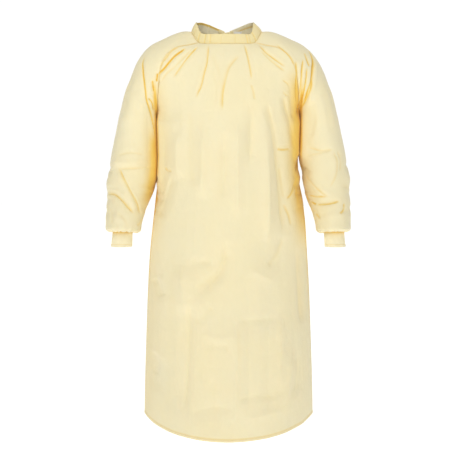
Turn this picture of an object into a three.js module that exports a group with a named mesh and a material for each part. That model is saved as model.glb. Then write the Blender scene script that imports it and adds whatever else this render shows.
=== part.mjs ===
// A worn surgical gown with raglan sleeves, rib cuffs and a neckband, open down the back.
// X points to the wearer's left, Y to the wearer's back and Z up.
// The origin is the middle of the neck opening, level with the tops of the shoulders.
import * as THREE from "three";

// Driving sizes, in millimetres.
const CLOTH_WALL = 1.6;
const RIB_WALL = 2.2;
const BAND_WALL = 2.2;
const SEAM_GAP = 0.4;
const BAND_LIFT = 0.5;
const BAND_HEIGHT = 26;
const BAND_LEAN_FRONT = 4;
const BAND_LEAN_LEFT = 23;
const BAND_LEAN_RIGHT = 13;
const NECK_DIP = 14;
const NECK_DIP_WIDTH = 28;
const TIE_WIDTH = 9;
const TIE_WALL = 1.4;
const TIE_DROP = 2;
const LABEL_WALL = 0.8;
const CLEARANCE = 0.7;
const NECK_OFFSET = -5;
const NECK_OFFSET_REACH = 130;
const NECK_MIDDLE_Y = 5;
const OVERLAP_STEP = 1.3;
const OVERLAP_RAMP = 45;

// Grid counts: rows follow the tables below, columns go round the body or the arm.
const FRONT_COLUMNS = 26;
const BACK_COLUMNS = 15;
const SLEEVE_COLUMNS = 19;
const CUFF_COLUMNS = 18;
const TIE_STEPS = 18;

// The row of each table at which the raglan seams meet under the arm.
const UNDERARM = 8;

const CLOTH = { color: 0xf2e5bc, roughness: 0.86, metalness: 0 };
const RIB = { color: 0xf4e4b0, roughness: 0.95, metalness: 0 };
const BAND = { color: 0xf3e2ac, roughness: 0.86, metalness: 0 };
const LABEL = { color: 0xf7f7f4, roughness: 0.7, metalness: 0 };

const radians = THREE.MathUtils.degToRad;
const clamp = THREE.MathUtils.clamp;
const smooth = (value, low, high) => THREE.MathUtils.smoothstep(value, low, high);

// Rows of numbers become objects with the named columns.
function table(columns, rows) {
  const names = columns.split(" ");
  return rows.map((row) => Object.fromEntries(names.map((name, i) => [name, row[i]])));
}

// One row of a table at any place between its rows, on a smooth curve through them.
function rowAt(rows, place) {
  const last = rows.length - 1;
  const i = clamp(Math.floor(place), 0, last - 1);
  const f = clamp(place - i, 0, 1);
  const pick = (k) => rows[clamp(k, 0, last)];
  const result = {};
  for (const name of Object.keys(rows[0])) {
    const [a, b, c, d] = [pick(i - 1)[name], pick(i)[name], pick(i + 1)[name], pick(i + 2)[name]];
    const [slopeB, slopeC] = [(c - a) / 2, (d - b) / 2];
    const bend = 3 * (c - b) - 2 * slopeB - slopeC;
    const turn = slopeB + slopeC - 2 * (c - b);
    result[name] = b + f * (slopeB + f * (bend + f * turn));
  }
  return result;
}

// Left sleeve, a row for each section from the neckband to the gathers at the cuff.
// out is the outer line over the shoulder. front and back are the raglan seams, and from
// the underarm down they are one inner line. full is the depth of the section before and
// behind the outer line, and turn is how far round it goes to reach its seam, in degrees.
const SLEEVE = table(
  "outX outY outZ frontX frontZ frontFull frontTurn backX backZ backFull backTurn tilt",
  [
    [100, 5, 5, 79, -37, 96, 41, 79, 12, 87, 41, 0],
    [122, 12, 5, 108, -43, 113, 48, 104, -2, 89, 46, 0],
    [147, 17, -2, 136, -49, 121, 55, 130, -18, 90, 52, 0],
    [184, 20, -18, 160, -64, 122, 62, 152, -38, 91, 58, 0],
    [218, 20, -35, 177, -86, 117, 70, 170, -64, 90, 66, 0],
    [245, 20, -61, 187, -115, 107, 82, 182, -97, 84, 80, 0],
    [268, 19, -98, 192, -150, 96, 102, 190, -138, 80, 108, 0],
    [290, 17, -158, 197, -196, 92, 135, 196, -190, 82, 143, 0],
    [308, 15, -222, 203, -245, 88, 180, 203, -245, 82, 180, 0],
    [321, 15, -270, 204.5, -292, 84, 180, 204.5, -292, 80, 180, 0],
    [331, 15, -312, 204, -334, 82, 180, 204, -334, 78, 180, 1],
    [340, 14, -354, 204, -373, 80, 180, 204, -373, 76, 180, 3],
    [346, 9, -396, 207, -410, 76, 180, 207, -410, 74, 180, 6],
    [349, 0, -436, 215, -446, 72, 180, 215, -446, 70, 180, 9],
    [350, -14, -474, 229, -480, 67, 180, 229, -480, 65, 180, 11],
    [349, -29, -508, 241, -512, 61, 180, 241, -512, 60, 180, 11],
    [348, -42, -536, 247, -539, 56, 180, 247, -539, 56, 180, 9],
    [347, -50, -553, 249, -556, 53, 180, 249, -556, 53, 180, 8],
    [338, -53, -560, 258, -562, 43, 180, 258, -562, 43, 180, 8],
    [328.5, -53, -558, 269.5, -559, 24.5, 180, 269.5, -559, 24.5, 180, 8],
  ],
);

// Centre lines of the front and the back, with the turn from the centre to the seam. Rows
// down to the underarm share the raglan seam's rows, and the others go on to the hem.
const TORSO = table(
  "chestY chestZ frontTurn spineY spineZ backTurn overlap",
  [
    [-75, -38, 50, 84, 2, 50, -8],
    [-84, -50, 47, 93, -18, 47, 4],
    [-94, -66, 45, 101, -41, 45, 12],
    [-104, -85, 44, 109, -65, 44, 20],
    [-113, -106, 43, 116, -92, 43, 28],
    [-122, -131, 44, 122, -121, 45, 35],
    [-131, -163, 49, 127, -157, 52, 42],
    [-139, -203, 64, 131, -200, 66, 48],
    [-145, -247, 90, 134, -246, 90, 53],
    [-148, -292, 88, 136, -291, 88, 57],
    [-151, -347, 86, 139, -346, 86, 61],
    [-155, -408, 84, 142, -407, 84, 64],
    [-160, -474, 82, 146, -473, 82, 66],
    [-165, -550, 80, 151, -549, 80, 68],
    [-171, -636, 78, 157, -634, 78, 70],
    [-179, -738, 76, 164, -735, 76, 71],
    [-187, -850, 74, 172, -846, 74, 72],
    [-195, -962, 72, 180, -957, 73, 73],
    [-201, -1053, 71, 187, -1047, 72, 74],
    [-205, -1120, 70, 192, -1112, 71, 74],
  ],
);

// Side seam from the underarm to the hem.
const SIDE_SEAM = table("x y z", [
  [203, 15, -245],
  [200.5, 13, -290],
  [199.5, 10, -345],
  [203, 8, -405],
  [211, 6, -470],
  [220, 5, -545],
  [229, 4, -630],
  [235.5, 3, -730],
  [240.5, 2, -840],
  [245, 1, -950],
  [248, 0, -1040],
  [249.5, 0, -1103],
]);

// The largest soft folds, seen from the front (facing -1) or the back (facing 1): a line
// from its top to its foot, half as wide as width, raised by depth or sunk if negative.
const FOLDS = table("facing topX topZ footX footZ width depth", [
  [-1, -50, -40, -74, -170, 12, -5],
  [-1, 46, -40, 64, -150, 12, -5],
  [-1, -81, -46, -152, -138, 13, -4],
  [-1, 85, -52, 164, -105, 13, -4],
  [-1, -12, -130, -14, -350, 22, -5],
  [-1, -103, -222, -103, -436, 26, -6],
  [-1, -68, -230, -66, -480, 22, 5],
  [-1, 26, -230, 24, -520, 24, 4],
  [-1, 64, -190, 62, -380, 20, -5],
  [-1, 102, -240, 104, -600, 26, 7],
  [-1, 122, -215, 153, -575, 20, -9],
  [-1, 140, -600, 100, -650, 22, -7],
  [-1, -160, -395, -185, -500, 16, 5],
  [-1, -14, -590, -92, -705, 26, -6],
  [-1, 32, -780, 30, -1090, 22, -5],
  [-1, 140, -740, 142, -1000, 22, -5],
  [-1, -112, -730, -126, -1060, 24, -5],
  [-1, 170, -905, 120, -1025, 18, 6],
  [-1, -304, -377, -243, -500, 14, -7],
  [-1, -346, -441, -268, -505, 14, -7],
  [-1, 214, -402, 330, -462, 16, -7],
  [-1, 205, -356, 300, -330, 16, -5],
  [1, 76, -30, 104, -250, 16, -5],
  [1, -74, -30, -100, -240, 16, -5],
  [1, 118, -270, 132, -760, 20, -7],
  [1, -116, -260, -134, -820, 20, -7],
  [1, 160, -300, 176, -800, 22, 6],
  [1, 140, -760, 146, -1100, 22, -6],
  [1, -176, -520, -190, -1080, 22, 6],
  [1, 330, -330, 230, -392, 16, -6],
  [1, -225, -350, -335, -410, 16, -6],
  [1, 340, -420, 246, -470, 14, -6],
]);
const HEM = TORSO.length - 1;
const SLEEVE_END = SLEEVE.length - 1;

// The neck opening sits a little to the wearer's right, as the collar hangs.
function shiftNeck(point) {
  point.x += NECK_OFFSET * smooth(point.z, -NECK_OFFSET_REACH, 0);
  return point;
}

// A point of the left sleeve: place is a row, round goes from -1 (front seam) to 1 (back seam).
function sleevePoint(place, round) {
  const row = rowAt(SLEEVE, place);
  const front = round < 0;
  const turn = radians(Math.min(180, front ? row.frontTurn : row.backTurn));
  const angle = Math.abs(round) * turn;
  const reach = (1 - Math.cos(angle)) / (1 - Math.cos(turn));
  const depth = (front ? -row.frontFull : row.backFull) * Math.sin(angle);
  const tilt = radians(row.tilt);
  const seamX = front ? row.frontX : row.backX;
  const seamZ = front ? row.frontZ : row.backZ;
  return new THREE.Vector3(
    row.outX + (seamX - row.outX) * reach,
    row.outY + depth * Math.cos(tilt),
    row.outZ + (seamZ - row.outZ) * reach - depth * Math.sin(tilt),
  );
}

// The left edge of the front (facing -1) or the back (facing 1): raglan seam, then side seam.
function seamPoint(place, facing) {
  if (place <= UNDERARM) return sleevePoint(place, facing);
  const row = rowAt(SIDE_SEAM, place - UNDERARM);
  return new THREE.Vector3(row.x, row.y, row.z);
}

// A point of the front or the back: across goes from -1 (right seam) to 1 (left seam).
function torsoPoint(place, across, facing) {
  const row = rowAt(TORSO, place);
  const seam = seamPoint(place, facing);
  const turn = radians(facing < 0 ? row.frontTurn : row.backTurn);
  const centreY = facing < 0 ? row.chestY : row.spineY;
  const centreZ = facing < 0 ? row.chestZ : row.spineZ;
  const angle = across * turn;
  const reach = (1 - Math.cos(angle)) / (1 - Math.cos(turn));
  return new THREE.Vector3(
    (seam.x * Math.sin(angle)) / Math.sin(turn),
    centreY + (seam.y - centreY) * reach,
    centreZ + (seam.z - centreZ) * reach,
  );
}

// How far across its row, from -1 to 1, a back panel point lies at the given distance from
// the centre line.
function acrossAt(place, x) {
  const turn = radians(rowAt(TORSO, place).backTurn);
  return Math.asin((x * Math.sin(turn)) / seamPoint(place, 1).x) / turn;
}

// A point of a back panel, share 0 at its free edge and 1 at its seam. side is 1 for the
// left back, which lies outside, and -1 for the right back, which lies inside.
function backPoint(place, share, side) {
  const { overlap } = rowAt(TORSO, place);
  const edge = acrossAt(place, -overlap);
  const point = torsoPoint(place, edge + (1 - edge) * share, 1);
  const lapped = 1 - smooth(point.x, overlap, overlap + OVERLAP_RAMP);
  point.y += side * OVERLAP_STEP * lapped;
  point.z -= NECK_DIP * Math.exp(-((point.x / NECK_DIP_WIDTH) ** 2)) * (1 - smooth(place, 0, 2));
  point.x *= side;
  return point;
}

// A grid of points as rows of columns, from a function of the row and the column.
function grid(rowCount, columnCount, pointAt) {
  const rows = [];
  for (let i = 0; i <= rowCount; i++) {
    const row = [];
    for (let j = 0; j <= columnCount; j++) row.push(shiftNeck(pointAt(i, j)));
    rows.push(row);
  }
  return rows;
}

const front = grid(HEM, FRONT_COLUMNS, (i, j) => torsoPoint(i, (2 * j) / FRONT_COLUMNS - 1, -1));
const backLeft = grid(HEM, BACK_COLUMNS, (i, j) => backPoint(i, 1 - j / BACK_COLUMNS, 1));
const backRight = grid(HEM, BACK_COLUMNS, (i, j) => backPoint(i, j / BACK_COLUMNS, -1));
const sleeveLeft = grid(SLEEVE_END, SLEEVE_COLUMNS, (i, j) =>
  sleevePoint(i, (2 * j) / SLEEVE_COLUMNS - 1),
);
const sleeveRight = grid(SLEEVE_END, SLEEVE_COLUMNS, (i, j) => {
  const point = sleevePoint(i, 1 - (2 * j) / SLEEVE_COLUMNS);
  point.x *= -1;
  return point;
});

// Outward normals of the grid's points, each the sum of the faces round it.
function normalsOf(rows) {
  const sums = rows.map((row) => row.map(() => new THREE.Vector3()));
  for (let i = 0; i + 1 < rows.length; i++)
    for (let j = 0; j + 1 < rows[i].length; j++) {
      const across = rows[i][j + 1].clone().sub(rows[i + 1][j]);
      const down = rows[i + 1][j + 1].clone().sub(rows[i][j]);
      const face = down.cross(across).normalize();
      for (const [r, c] of [[i, j], [i, j + 1], [i + 1, j], [i + 1, j + 1]]) sums[r][c].add(face);
    }
  return sums;
}

// Neighbouring panels share one normal along their seam, so that their walls stay parallel.
function sharedNormals(panels) {
  const keyOf = (p) => p.toArray().map((v) => v.toFixed(1)).join();
  const shared = new Map();
  const all = panels.map(normalsOf);
  panels.forEach((rows, k) =>
    rows.forEach((row, i) =>
      row.forEach((point, j) => {
        const key = keyOf(point);
        if (!shared.has(key)) shared.set(key, new THREE.Vector3());
        shared.get(key).add(all[k][i][j]);
      }),
    ),
  );
  return panels.map((rows) => rows.map((row) => row.map((p) => shared.get(keyOf(p)).clone().normalize())));
}

// How far the folds move a point along its normal.
function foldDepth(point, normal) {
  const facing = Math.sign(normal.y);
  let depth = 0;
  for (const fold of FOLDS) {
    if (fold.facing !== facing) continue;
    const [runX, runZ] = [fold.footX - fold.topX, fold.footZ - fold.topZ];
    const run = Math.hypot(runX, runZ);
    const along = ((point.x - fold.topX) * runX + (point.z - fold.topZ) * runZ) / run ** 2;
    const aside = ((point.x - fold.topX) * runZ - (point.z - fold.topZ) * runX) / run;
    const fade = smooth(along, -0.12, 0.15) * (1 - smooth(along, 0.8, 1.15));
    depth += fold.depth * fade * Math.exp(-((aside / fold.width) ** 2));
  }
  return depth * smooth(Math.abs(normal.y), 0.15, 0.6);
}

function addFolds(panels, normals) {
  panels.forEach((rows, k) =>
    rows.forEach((row, i) =>
      row.forEach((point, j) => point.addScaledVector(normals[k][i][j], foldDepth(point, normals[k][i][j]))),
    ),
  );
}

// A closed wall: the grid's points outside, the same points moved in along their normals
// inside, and the edges joined. With closed, the last column joins the first.
function wall(rows, normals, thickness, closed = false) {
  const columnCount = rows[0].length;
  const positions = [];
  for (const depth of [0, thickness])
    rows.forEach((row, i) =>
      row.forEach((p, j) => positions.push(...p.clone().addScaledVector(normals[i][j], -depth).toArray())),
    );
  const layer = rows.length * columnCount;
  const at = (i, j, inner) => inner * layer + i * columnCount + (j % columnCount);
  const index = [];
  const far = (a, b) => {
    const step = [0, 1, 2].map((k) => positions[3 * a + k] - positions[3 * b + k]);
    return Math.hypot(...step);
  };
  const turned = normalsOf(rows)[0][0].dot(normals[0][0]) < 0;
  const quad = (...corners) => {
    const [a, b, c, d] = turned ? corners.reverse() : corners;
    if (far(a, c) <= far(b, d)) index.push(a, b, c, a, c, d);
    else index.push(a, b, d, b, c, d);
  };
  const spans = closed ? columnCount : columnCount - 1;
  for (let i = 0; i + 1 < rows.length; i++)
    for (let j = 0; j < spans; j++) {
      quad(at(i, j, 0), at(i + 1, j, 0), at(i + 1, j + 1, 0), at(i, j + 1, 0));
      quad(at(i, j, 1), at(i, j + 1, 1), at(i + 1, j + 1, 1), at(i + 1, j, 1));
    }
  for (let j = 0; j < spans; j++) {
    const last = rows.length - 1;
    quad(at(0, j, 0), at(0, j + 1, 0), at(0, j + 1, 1), at(0, j, 1));
    quad(at(last, j, 0), at(last, j, 1), at(last, j + 1, 1), at(last, j + 1, 0));
  }
  if (!closed)
    for (let i = 0; i + 1 < rows.length; i++) {
      const last = columnCount - 1;
      quad(at(i, 0, 0), at(i, 0, 1), at(i + 1, 0, 1), at(i + 1, 0, 0));
      quad(at(i, last, 0), at(i + 1, last, 0), at(i + 1, last, 1), at(i, last, 1));
    }
  const geometry = new THREE.BufferGeometry();
  geometry.setAttribute("position", new THREE.Float32BufferAttribute(positions, 3));
  geometry.setIndex(index);
  return geometry;
}

// The step that takes a raglan seam point from the body to the sleeve, across the seam.
function acrossRaglan(place, facing) {
  const low = seamPoint(Math.max(place - 0.5, 0), facing);
  const high = seamPoint(Math.min(place + 0.5, UNDERARM), facing);
  return new THREE.Vector3(low.z - high.z, 0, high.x - low.x).normalize();
}

// Moves a panel's edges back from its seams by half the gap. Each edge says its column, the
// way it faces, which side of the body it is on, and if it belongs to the sleeve.
function trim(rows, edges) {
  for (const { column, facing, side, sleeve } of edges)
    rows.forEach((row, i) => {
      const point = row[column];
      if (i <= UNDERARM) {
        const step = acrossRaglan(i, facing);
        step.x *= side;
        point.addScaledVector(step, ((sleeve ? 1 : -1) * SEAM_GAP) / 2);
      }
      if (i >= UNDERARM) point.y += (facing * SEAM_GAP) / 2;
    });
}

const panels = [front, backLeft, backRight, sleeveLeft, sleeveRight];
addFolds(panels, sharedNormals(panels));
const [frontNormals, backLeftNormals, backRightNormals, sleeveLeftNormals, sleeveRightNormals] =
  sharedNormals(panels);

// The neckband stands on the neck edges of the panels, from one back edge round to the other.
function neckEdge() {
  const edge = [
    ...[...backLeft[0]].reverse(),
    ...sleeveLeft[0].slice(0, -1).reverse(),
    ...front[0].slice(1, -1).reverse(),
    ...[...sleeveRight[0]].reverse(),
    ...backRight[0].slice(0, -1).reverse(),
  ];
  return edge.map((p) => p.clone());
}

// The level direction out of the neck opening at a point.
function fromNeck(point) {
  return new THREE.Vector3(point.x - NECK_OFFSET, point.y - NECK_MIDDLE_Y, 0).normalize();
}

// The neckband's outer points at a share of its height, right back edge last.
function bandRow(share) {
  return neckEdge().map((point) => {
    const out = fromNeck(point);
    const sideways = Math.abs(point.x - NECK_OFFSET) / SLEEVE[0].outX;
    const leanSide = point.x > NECK_OFFSET ? BAND_LEAN_LEFT : BAND_LEAN_RIGHT;
    const lean = BAND_LEAN_FRONT + (leanSide - BAND_LEAN_FRONT) * sideways ** 3;
    point.addScaledVector(out, -lean * share ** 1.5);
    point.z += BAND_LIFT + (BAND_HEIGHT - SEAM_GAP) * share;
    return point;
  });
}

function bandGeometry() {
  const rows = [0, 0.5, 1].map(bandRow);
  return wall(rows, normalsOf(rows).map((row) => row.map((n) => n.normalize())), BAND_WALL);
}

// An oval rib cuff, from inside the gathered sleeve end to below it.
const CUFF = table("x y z halfWidth halfDepth", [
  [299, -52, -553, 28.3, 23.3],
  [300, -55, -568, 28.3, 22.5],
  [301, -60, -585, 28.6, 21.5],
  [301.5, -65, -600, 29.2, 20.5],
]);

function cuffGeometry(side) {
  const rows = CUFF.map(({ x, y, z, halfWidth, halfDepth }) => {
    const row = [];
    for (let j = 0; j < CUFF_COLUMNS; j++) {
      const angle = (2 * Math.PI * j * side) / CUFF_COLUMNS;
      row.push(
        new THREE.Vector3(side * (x + halfWidth * Math.cos(angle)), y + halfDepth * Math.sin(angle), z),
      );
    }
    return row;
  });
  const closedRows = rows.map((row) => [...row, row[0]]);
  const sums = normalsOf(closedRows);
  const normals = sums.map((row) => {
    row[0].add(row[row.length - 1]);
    return row.slice(0, -1).map((n) => n.normalize());
  });
  return wall(rows, normals, RIB_WALL, true);
}

// Each tie is a flat tape sewn inside the band's end, then led on over these points: the
// right one through the gap at the back and down outside, and the left one across it and
// down inside. sewnTo is how far from the middle of the neck the sewn end reaches.
const TIES = {
  left: {
    side: 1,
    sewnTo: 19,
    ends: table("x y z", [
      [-6, 73, 7],
      [-17, 70, -1],
      [-25, 69, -12],
      [-30, 69, -28],
      [-32, 70, -54],
      [-31, 71, -87],
      [-30, 72, -120],
    ]),
  },
  right: {
    side: -1,
    sewnTo: 27,
    ends: table("x y z", [
      [-10.5, 76.8, 7.5],
      [-4.5, 81.5, 4],
      [3, 88.5, -2],
      [8, 94.5, -12],
      [9, 100.5, -28],
      [10, 108.5, -47],
      [11, 116, -70],
      [11, 123, -96],
      [12, 129, -126],
      [12, 133.5, -160],
    ]),
  },
};

function tieGeometry({ side, sewnTo, ends }) {
  const sewn = bandRow(1).flatMap((p, i) => {
    const fromMiddle = side * (p.x - NECK_OFFSET);
    return p.y > NECK_MIDDLE_Y && fromMiddle > 0 && fromMiddle < sewnTo ? [i] : [];
  });
  if (side > 0) sewn.reverse();
  const free = ends.map(({ x, y, z }) => new THREE.Vector3(x, y, z));
  const edges = [1, -1].map((upper) => {
    const drop = TIE_DROP + (upper > 0 ? 0 : TIE_WIDTH);
    const band = bandRow(1 - drop / BAND_HEIGHT);
    const points = sewn.map((i) => band[i].addScaledVector(fromNeck(band[i]), -BAND_WALL - CLEARANCE));
    free.forEach((point, i) => {
      const before = free[Math.max(i - 1, 0)];
      const after = free[Math.min(i + 1, free.length - 1)];
      const out = fromNeck(point);
      const across = after.clone().sub(before).cross(out).normalize();
      points.push(
        point
          .clone()
          .addScaledVector(out, TIE_WALL / 2)
          .addScaledVector(across, (-side * upper * TIE_WIDTH) / 2),
      );
    });
    return new THREE.CatmullRomCurve3(points, false, "centripetal").getPoints(TIE_STEPS);
  });
  return wall(edges, edges.map((row) => row.map(fromNeck)), TIE_WALL);
}

// The bare label hangs inside the back of the band, a little to the wearer's left. It follows
// the band at a share of its height, behind the listed Y.
const LABEL_PLACE = { left: 16, right: 40, top: 15, foot: -15, columns: 3, clear: 3.6, share: 0.6, behind: 40 };
const LABEL_SAMPLES = 200;

function labelGeometry() {
  const { left, right, top, foot, columns, clear, share, behind } = LABEL_PLACE;
  const backOfBand = bandRow(share).filter((p) => p.y > behind);
  const along = new THREE.CatmullRomCurve3(backOfBand.sort((a, b) => b.x - a.x));
  const samples = along.getPoints(LABEL_SAMPLES);
  const placeAt = (x) => samples.reduce((best, p) => (Math.abs(p.x - x) < Math.abs(best.x - x) ? p : best));
  const rows = [top, foot].map((z) => {
    const row = [];
    for (let j = 0; j <= columns; j++) {
      const place = placeAt(right + ((left - right) * j) / columns).clone();
      row.push(place.addScaledVector(fromNeck(place), -clear).setZ(z));
    }
    return row;
  });
  return wall(rows, rows.map((row) => row.map(fromNeck)), LABEL_WALL);
}

trim(front, [
  { column: 0, facing: -1, side: -1, sleeve: false },
  { column: FRONT_COLUMNS, facing: -1, side: 1, sleeve: false },
]);
trim(backLeft, [{ column: 0, facing: 1, side: 1, sleeve: false }]);
trim(backRight, [{ column: BACK_COLUMNS, facing: 1, side: -1, sleeve: false }]);
trim(sleeveLeft, [
  { column: 0, facing: -1, side: 1, sleeve: true },
  { column: SLEEVE_COLUMNS, facing: 1, side: 1, sleeve: true },
]);
trim(sleeveRight, [
  { column: 0, facing: 1, side: -1, sleeve: true },
  { column: SLEEVE_COLUMNS, facing: -1, side: -1, sleeve: true },
]);

const gown = new THREE.Group();

function add(name, geometry, material) {
  const mesh = new THREE.Mesh(geometry, new THREE.MeshStandardMaterial(material));
  mesh.name = name;
  gown.add(mesh);
}

add("front", wall(front, frontNormals, CLOTH_WALL), CLOTH);
add("back_left", wall(backLeft, backLeftNormals, CLOTH_WALL), CLOTH);
add("back_right", wall(backRight, backRightNormals, CLOTH_WALL), CLOTH);
add("sleeve_left", wall(sleeveLeft, sleeveLeftNormals, CLOTH_WALL), CLOTH);
add("sleeve_right", wall(sleeveRight, sleeveRightNormals, CLOTH_WALL), CLOTH);
add("neckband", bandGeometry(), BAND);
add("tie_left", tieGeometry(TIES.left), BAND);
add("tie_right", tieGeometry(TIES.right), BAND);
add("label", labelGeometry(), LABEL);
add("cuff_left", cuffGeometry(1), RIB);
add("cuff_right", cuffGeometry(-1), RIB);

export default gown;
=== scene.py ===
"""A surgical gown, filled out as worn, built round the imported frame. Sizes are in millimetres.

X points to the wearer's left, Y to the wearer's back and Z up, as in the frame.
"""

import math

import bpy
import numpy as np
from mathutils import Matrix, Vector


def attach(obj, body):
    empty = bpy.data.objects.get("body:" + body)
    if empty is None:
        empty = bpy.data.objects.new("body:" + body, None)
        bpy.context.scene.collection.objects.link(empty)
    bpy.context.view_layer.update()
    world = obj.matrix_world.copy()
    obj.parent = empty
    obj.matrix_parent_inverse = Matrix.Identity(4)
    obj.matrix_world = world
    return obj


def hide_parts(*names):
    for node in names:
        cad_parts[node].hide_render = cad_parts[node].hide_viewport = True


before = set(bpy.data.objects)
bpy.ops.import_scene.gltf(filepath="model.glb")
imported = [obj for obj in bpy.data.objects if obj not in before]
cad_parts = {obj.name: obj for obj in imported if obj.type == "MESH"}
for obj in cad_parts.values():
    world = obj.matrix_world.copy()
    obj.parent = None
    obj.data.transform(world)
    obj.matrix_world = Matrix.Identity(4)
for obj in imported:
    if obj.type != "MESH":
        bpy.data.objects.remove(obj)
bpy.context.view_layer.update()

MM = 0.001
BODY = "root"

# Driving sizes
CLOTH_WALL = 0.7
RIB_WALL = 1.3
BAND_LAYER = 0.6
BAND_SPACE = 1.0
BAND_SET_IN = 1.1
BAND_HEIGHT = 26
BAND_LEAN_FRONT = 4
BAND_LEAN_LEFT = 23
BAND_LEAN_RIGHT = 13
NECK_DIP = 14
NECK_DIP_WIDTH = 28
NECK_OFFSET = -5
NECK_OFFSET_REACH = 130
NECK_MIDDLE_Y = 5
OVERLAP_STEP = 1.3
OVERLAP_RAMP = 45
TIE_WIDTH = 9
TIE_WALL = 0.9
TIE_DROP = 2
TIE_IN = 3.0
TIE_POINTS = 160
HEM_TURN = 8
SEAM_DEPTH = 1.1
SEAM_HALF_WIDTH = 2.6
SEAM_TUCK = 3
SEAM_QUIET = 7
UNDERARM = 8
NECK_ROUNDS = 110
NECK_FADE = 26
GAP_TOP_RIGHT = 418
GAP_TOP_LEFT = 358
CONTACT_GAP = 0.15

# Mesh spacing
TOP_STEP = 2.7
SKIRT_STEP = 3.9
FRONT_COLUMN_STEP = 3.3
BACK_COLUMN_STEP = 3.9
SLEEVE_ROW_STEP = 2.7
SLEEVE_COLUMN_STEP = 2.7
COARSER = 3

# How far it is round each panel where it is widest
FRONT_ROUND = 780
BACK_ROUND = 480
SLEEVE_ROUND = 440
SEED = 7


def table(columns, rows):
    """Rows of numbers become one array for each named column."""
    return {name: np.array([row[i] for row in rows], float) for i, name in enumerate(columns.split())}


# Left sleeve, a row for each section from the neckband to the gathers at the cuff.
SLEEVE = table(
    "outX outY outZ frontX frontZ frontFull frontTurn backX backZ backFull backTurn tilt",
    [
        (100, 5, 5, 79, -37, 96, 41, 79, 12, 87, 41, 0),
        (122, 12, 5, 108, -43, 113, 48, 104, -2, 89, 46, 0),
        (147, 17, -2, 136, -49, 121, 55, 130, -18, 90, 52, 0),
        (184, 20, -18, 160, -64, 122, 62, 152, -38, 91, 58, 0),
        (218, 20, -35, 177, -86, 117, 70, 170, -64, 90, 66, 0),
        (245, 20, -61, 187, -115, 107, 82, 182, -97, 84, 80, 0),
        (268, 19, -98, 192, -150, 96, 102, 190, -138, 80, 108, 0),
        (290, 17, -158, 197, -196, 92, 135, 196, -190, 82, 143, 0),
        (308, 15, -222, 203, -245, 88, 180, 203, -245, 82, 180, 0),
        (321, 15, -270, 204.5, -292, 84, 180, 204.5, -292, 80, 180, 0),
        (331, 15, -312, 204, -334, 82, 180, 204, -334, 78, 180, 1),
        (340, 14, -354, 204, -373, 80, 180, 204, -373, 76, 180, 3),
        (346, 9, -396, 207, -410, 76, 180, 207, -410, 74, 180, 6),
        (349, 0, -436, 215, -446, 72, 180, 215, -446, 70, 180, 9),
        (350, -14, -474, 229, -480, 67, 180, 229, -480, 65, 180, 11),
        (349, -29, -508, 241, -512, 61, 180, 241, -512, 60, 180, 11),
        (348, -42, -536, 247, -539, 56, 180, 247, -539, 56, 180, 9),
        (347, -50, -553, 249, -556, 53, 180, 249, -556, 53, 180, 8),
        (338, -53, -560, 258, -562, 43, 180, 258, -562, 43, 180, 8),
        (328.5, -53, -558, 269.5, -559, 24.5, 180, 269.5, -559, 24.5, 180, 8),
    ],
)

# Centre lines of the front and the back, with the turn from the centre to the seam.
TORSO = table(
    "chestY chestZ frontTurn spineY spineZ backTurn overlap",
    [
        (-75, -38, 50, 84, 2, 50, -8),
        (-84, -50, 47, 93, -18, 47, 4),
        (-94, -66, 45, 101, -41, 45, 12),
        (-104, -85, 44, 109, -65, 44, 20),
        (-113, -106, 43, 116, -92, 43, 28),
        (-122, -131, 44, 122, -121, 45, 35),
        (-131, -163, 49, 127, -157, 52, 42),
        (-139, -203, 64, 131, -200, 66, 48),
        (-145, -247, 90, 134, -246, 90, 53),
        (-148, -292, 88, 136, -291, 88, 57),
        (-151, -347, 86, 139, -346, 86, 61),
        (-155, -408, 84, 142, -407, 84, 64),
        (-160, -474, 82, 146, -473, 82, 66),
        (-165, -550, 80, 151, -549, 80, 68),
        (-171, -636, 78, 157, -634, 78, 70),
        (-179, -738, 76, 164, -735, 76, 71),
        (-187, -850, 74, 172, -846, 74, 72),
        (-195, -962, 72, 180, -957, 73, 73),
        (-201, -1053, 71, 187, -1047, 72, 74),
        (-205, -1120, 70, 192, -1112, 71, 74),
    ],
)

# Side seam from the underarm to the hem.
SIDE_SEAM = table(
    "x y z",
    [
        (203, 15, -245),
        (200.5, 13, -290),
        (199.5, 10, -345),
        (203, 8, -405),
        (211, 6, -470),
        (220, 5, -545),
        (229, 4, -630),
        (235.5, 3, -730),
        (240.5, 2, -840),
        (245, 1, -950),
        (248, 0, -1040),
        (249.5, 0, -1103),
    ],
)
HEM = len(TORSO["chestY"]) - 1
SLEEVE_END = len(SLEEVE["outX"]) - 1

# An oval rib cuff, from inside the gathered sleeve end to its lower edge.
CUFF = table(
    "x y z halfWidth halfDepth",
    [
        (299, -52, -552.5, 28.3, 23.3),
        (299.4, -53.6, -561, 28.3, 23),
        (300, -56, -571, 28.4, 22.4),
        (300.7, -59.3, -583, 28.7, 21.6),
        (301.2, -62.3, -592, 28.9, 21),
        (301.5, -65, -600, 29.3, 20.5),
    ],
)

# Colours, linear
CREAM = (0.865, 0.775, 0.515)
CREAM_GREY = (0.845, 0.77, 0.535)
# The gold and amber below are painted warm shade, for creases, seams and crevices. The pale inside colour is
# painted light, for the cloth's inside lit through the cloth.
PAINTED_SHADE_GOLD = (0.84, 0.59, 0.15)
PAINTED_SHADE_AMBER = (0.76, 0.41, 0.015)
INSIDE_PAINTED_LIGHT = (0.98, 0.90, 0.66)
BAND_CREAM = (0.88, 0.75, 0.42)
RIB_CREAM = (0.96, 0.88, 0.63)
WHITE = (0.86, 0.86, 0.85)
SOFT_GLOW = 0.1


def smoothstep(value, low, high):
    """From 0 at low to 1 at high, easing at both."""
    t = np.clip((value - low) / (high - low), 0, 1)
    return t * t * (3 - 2 * t)


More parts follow.
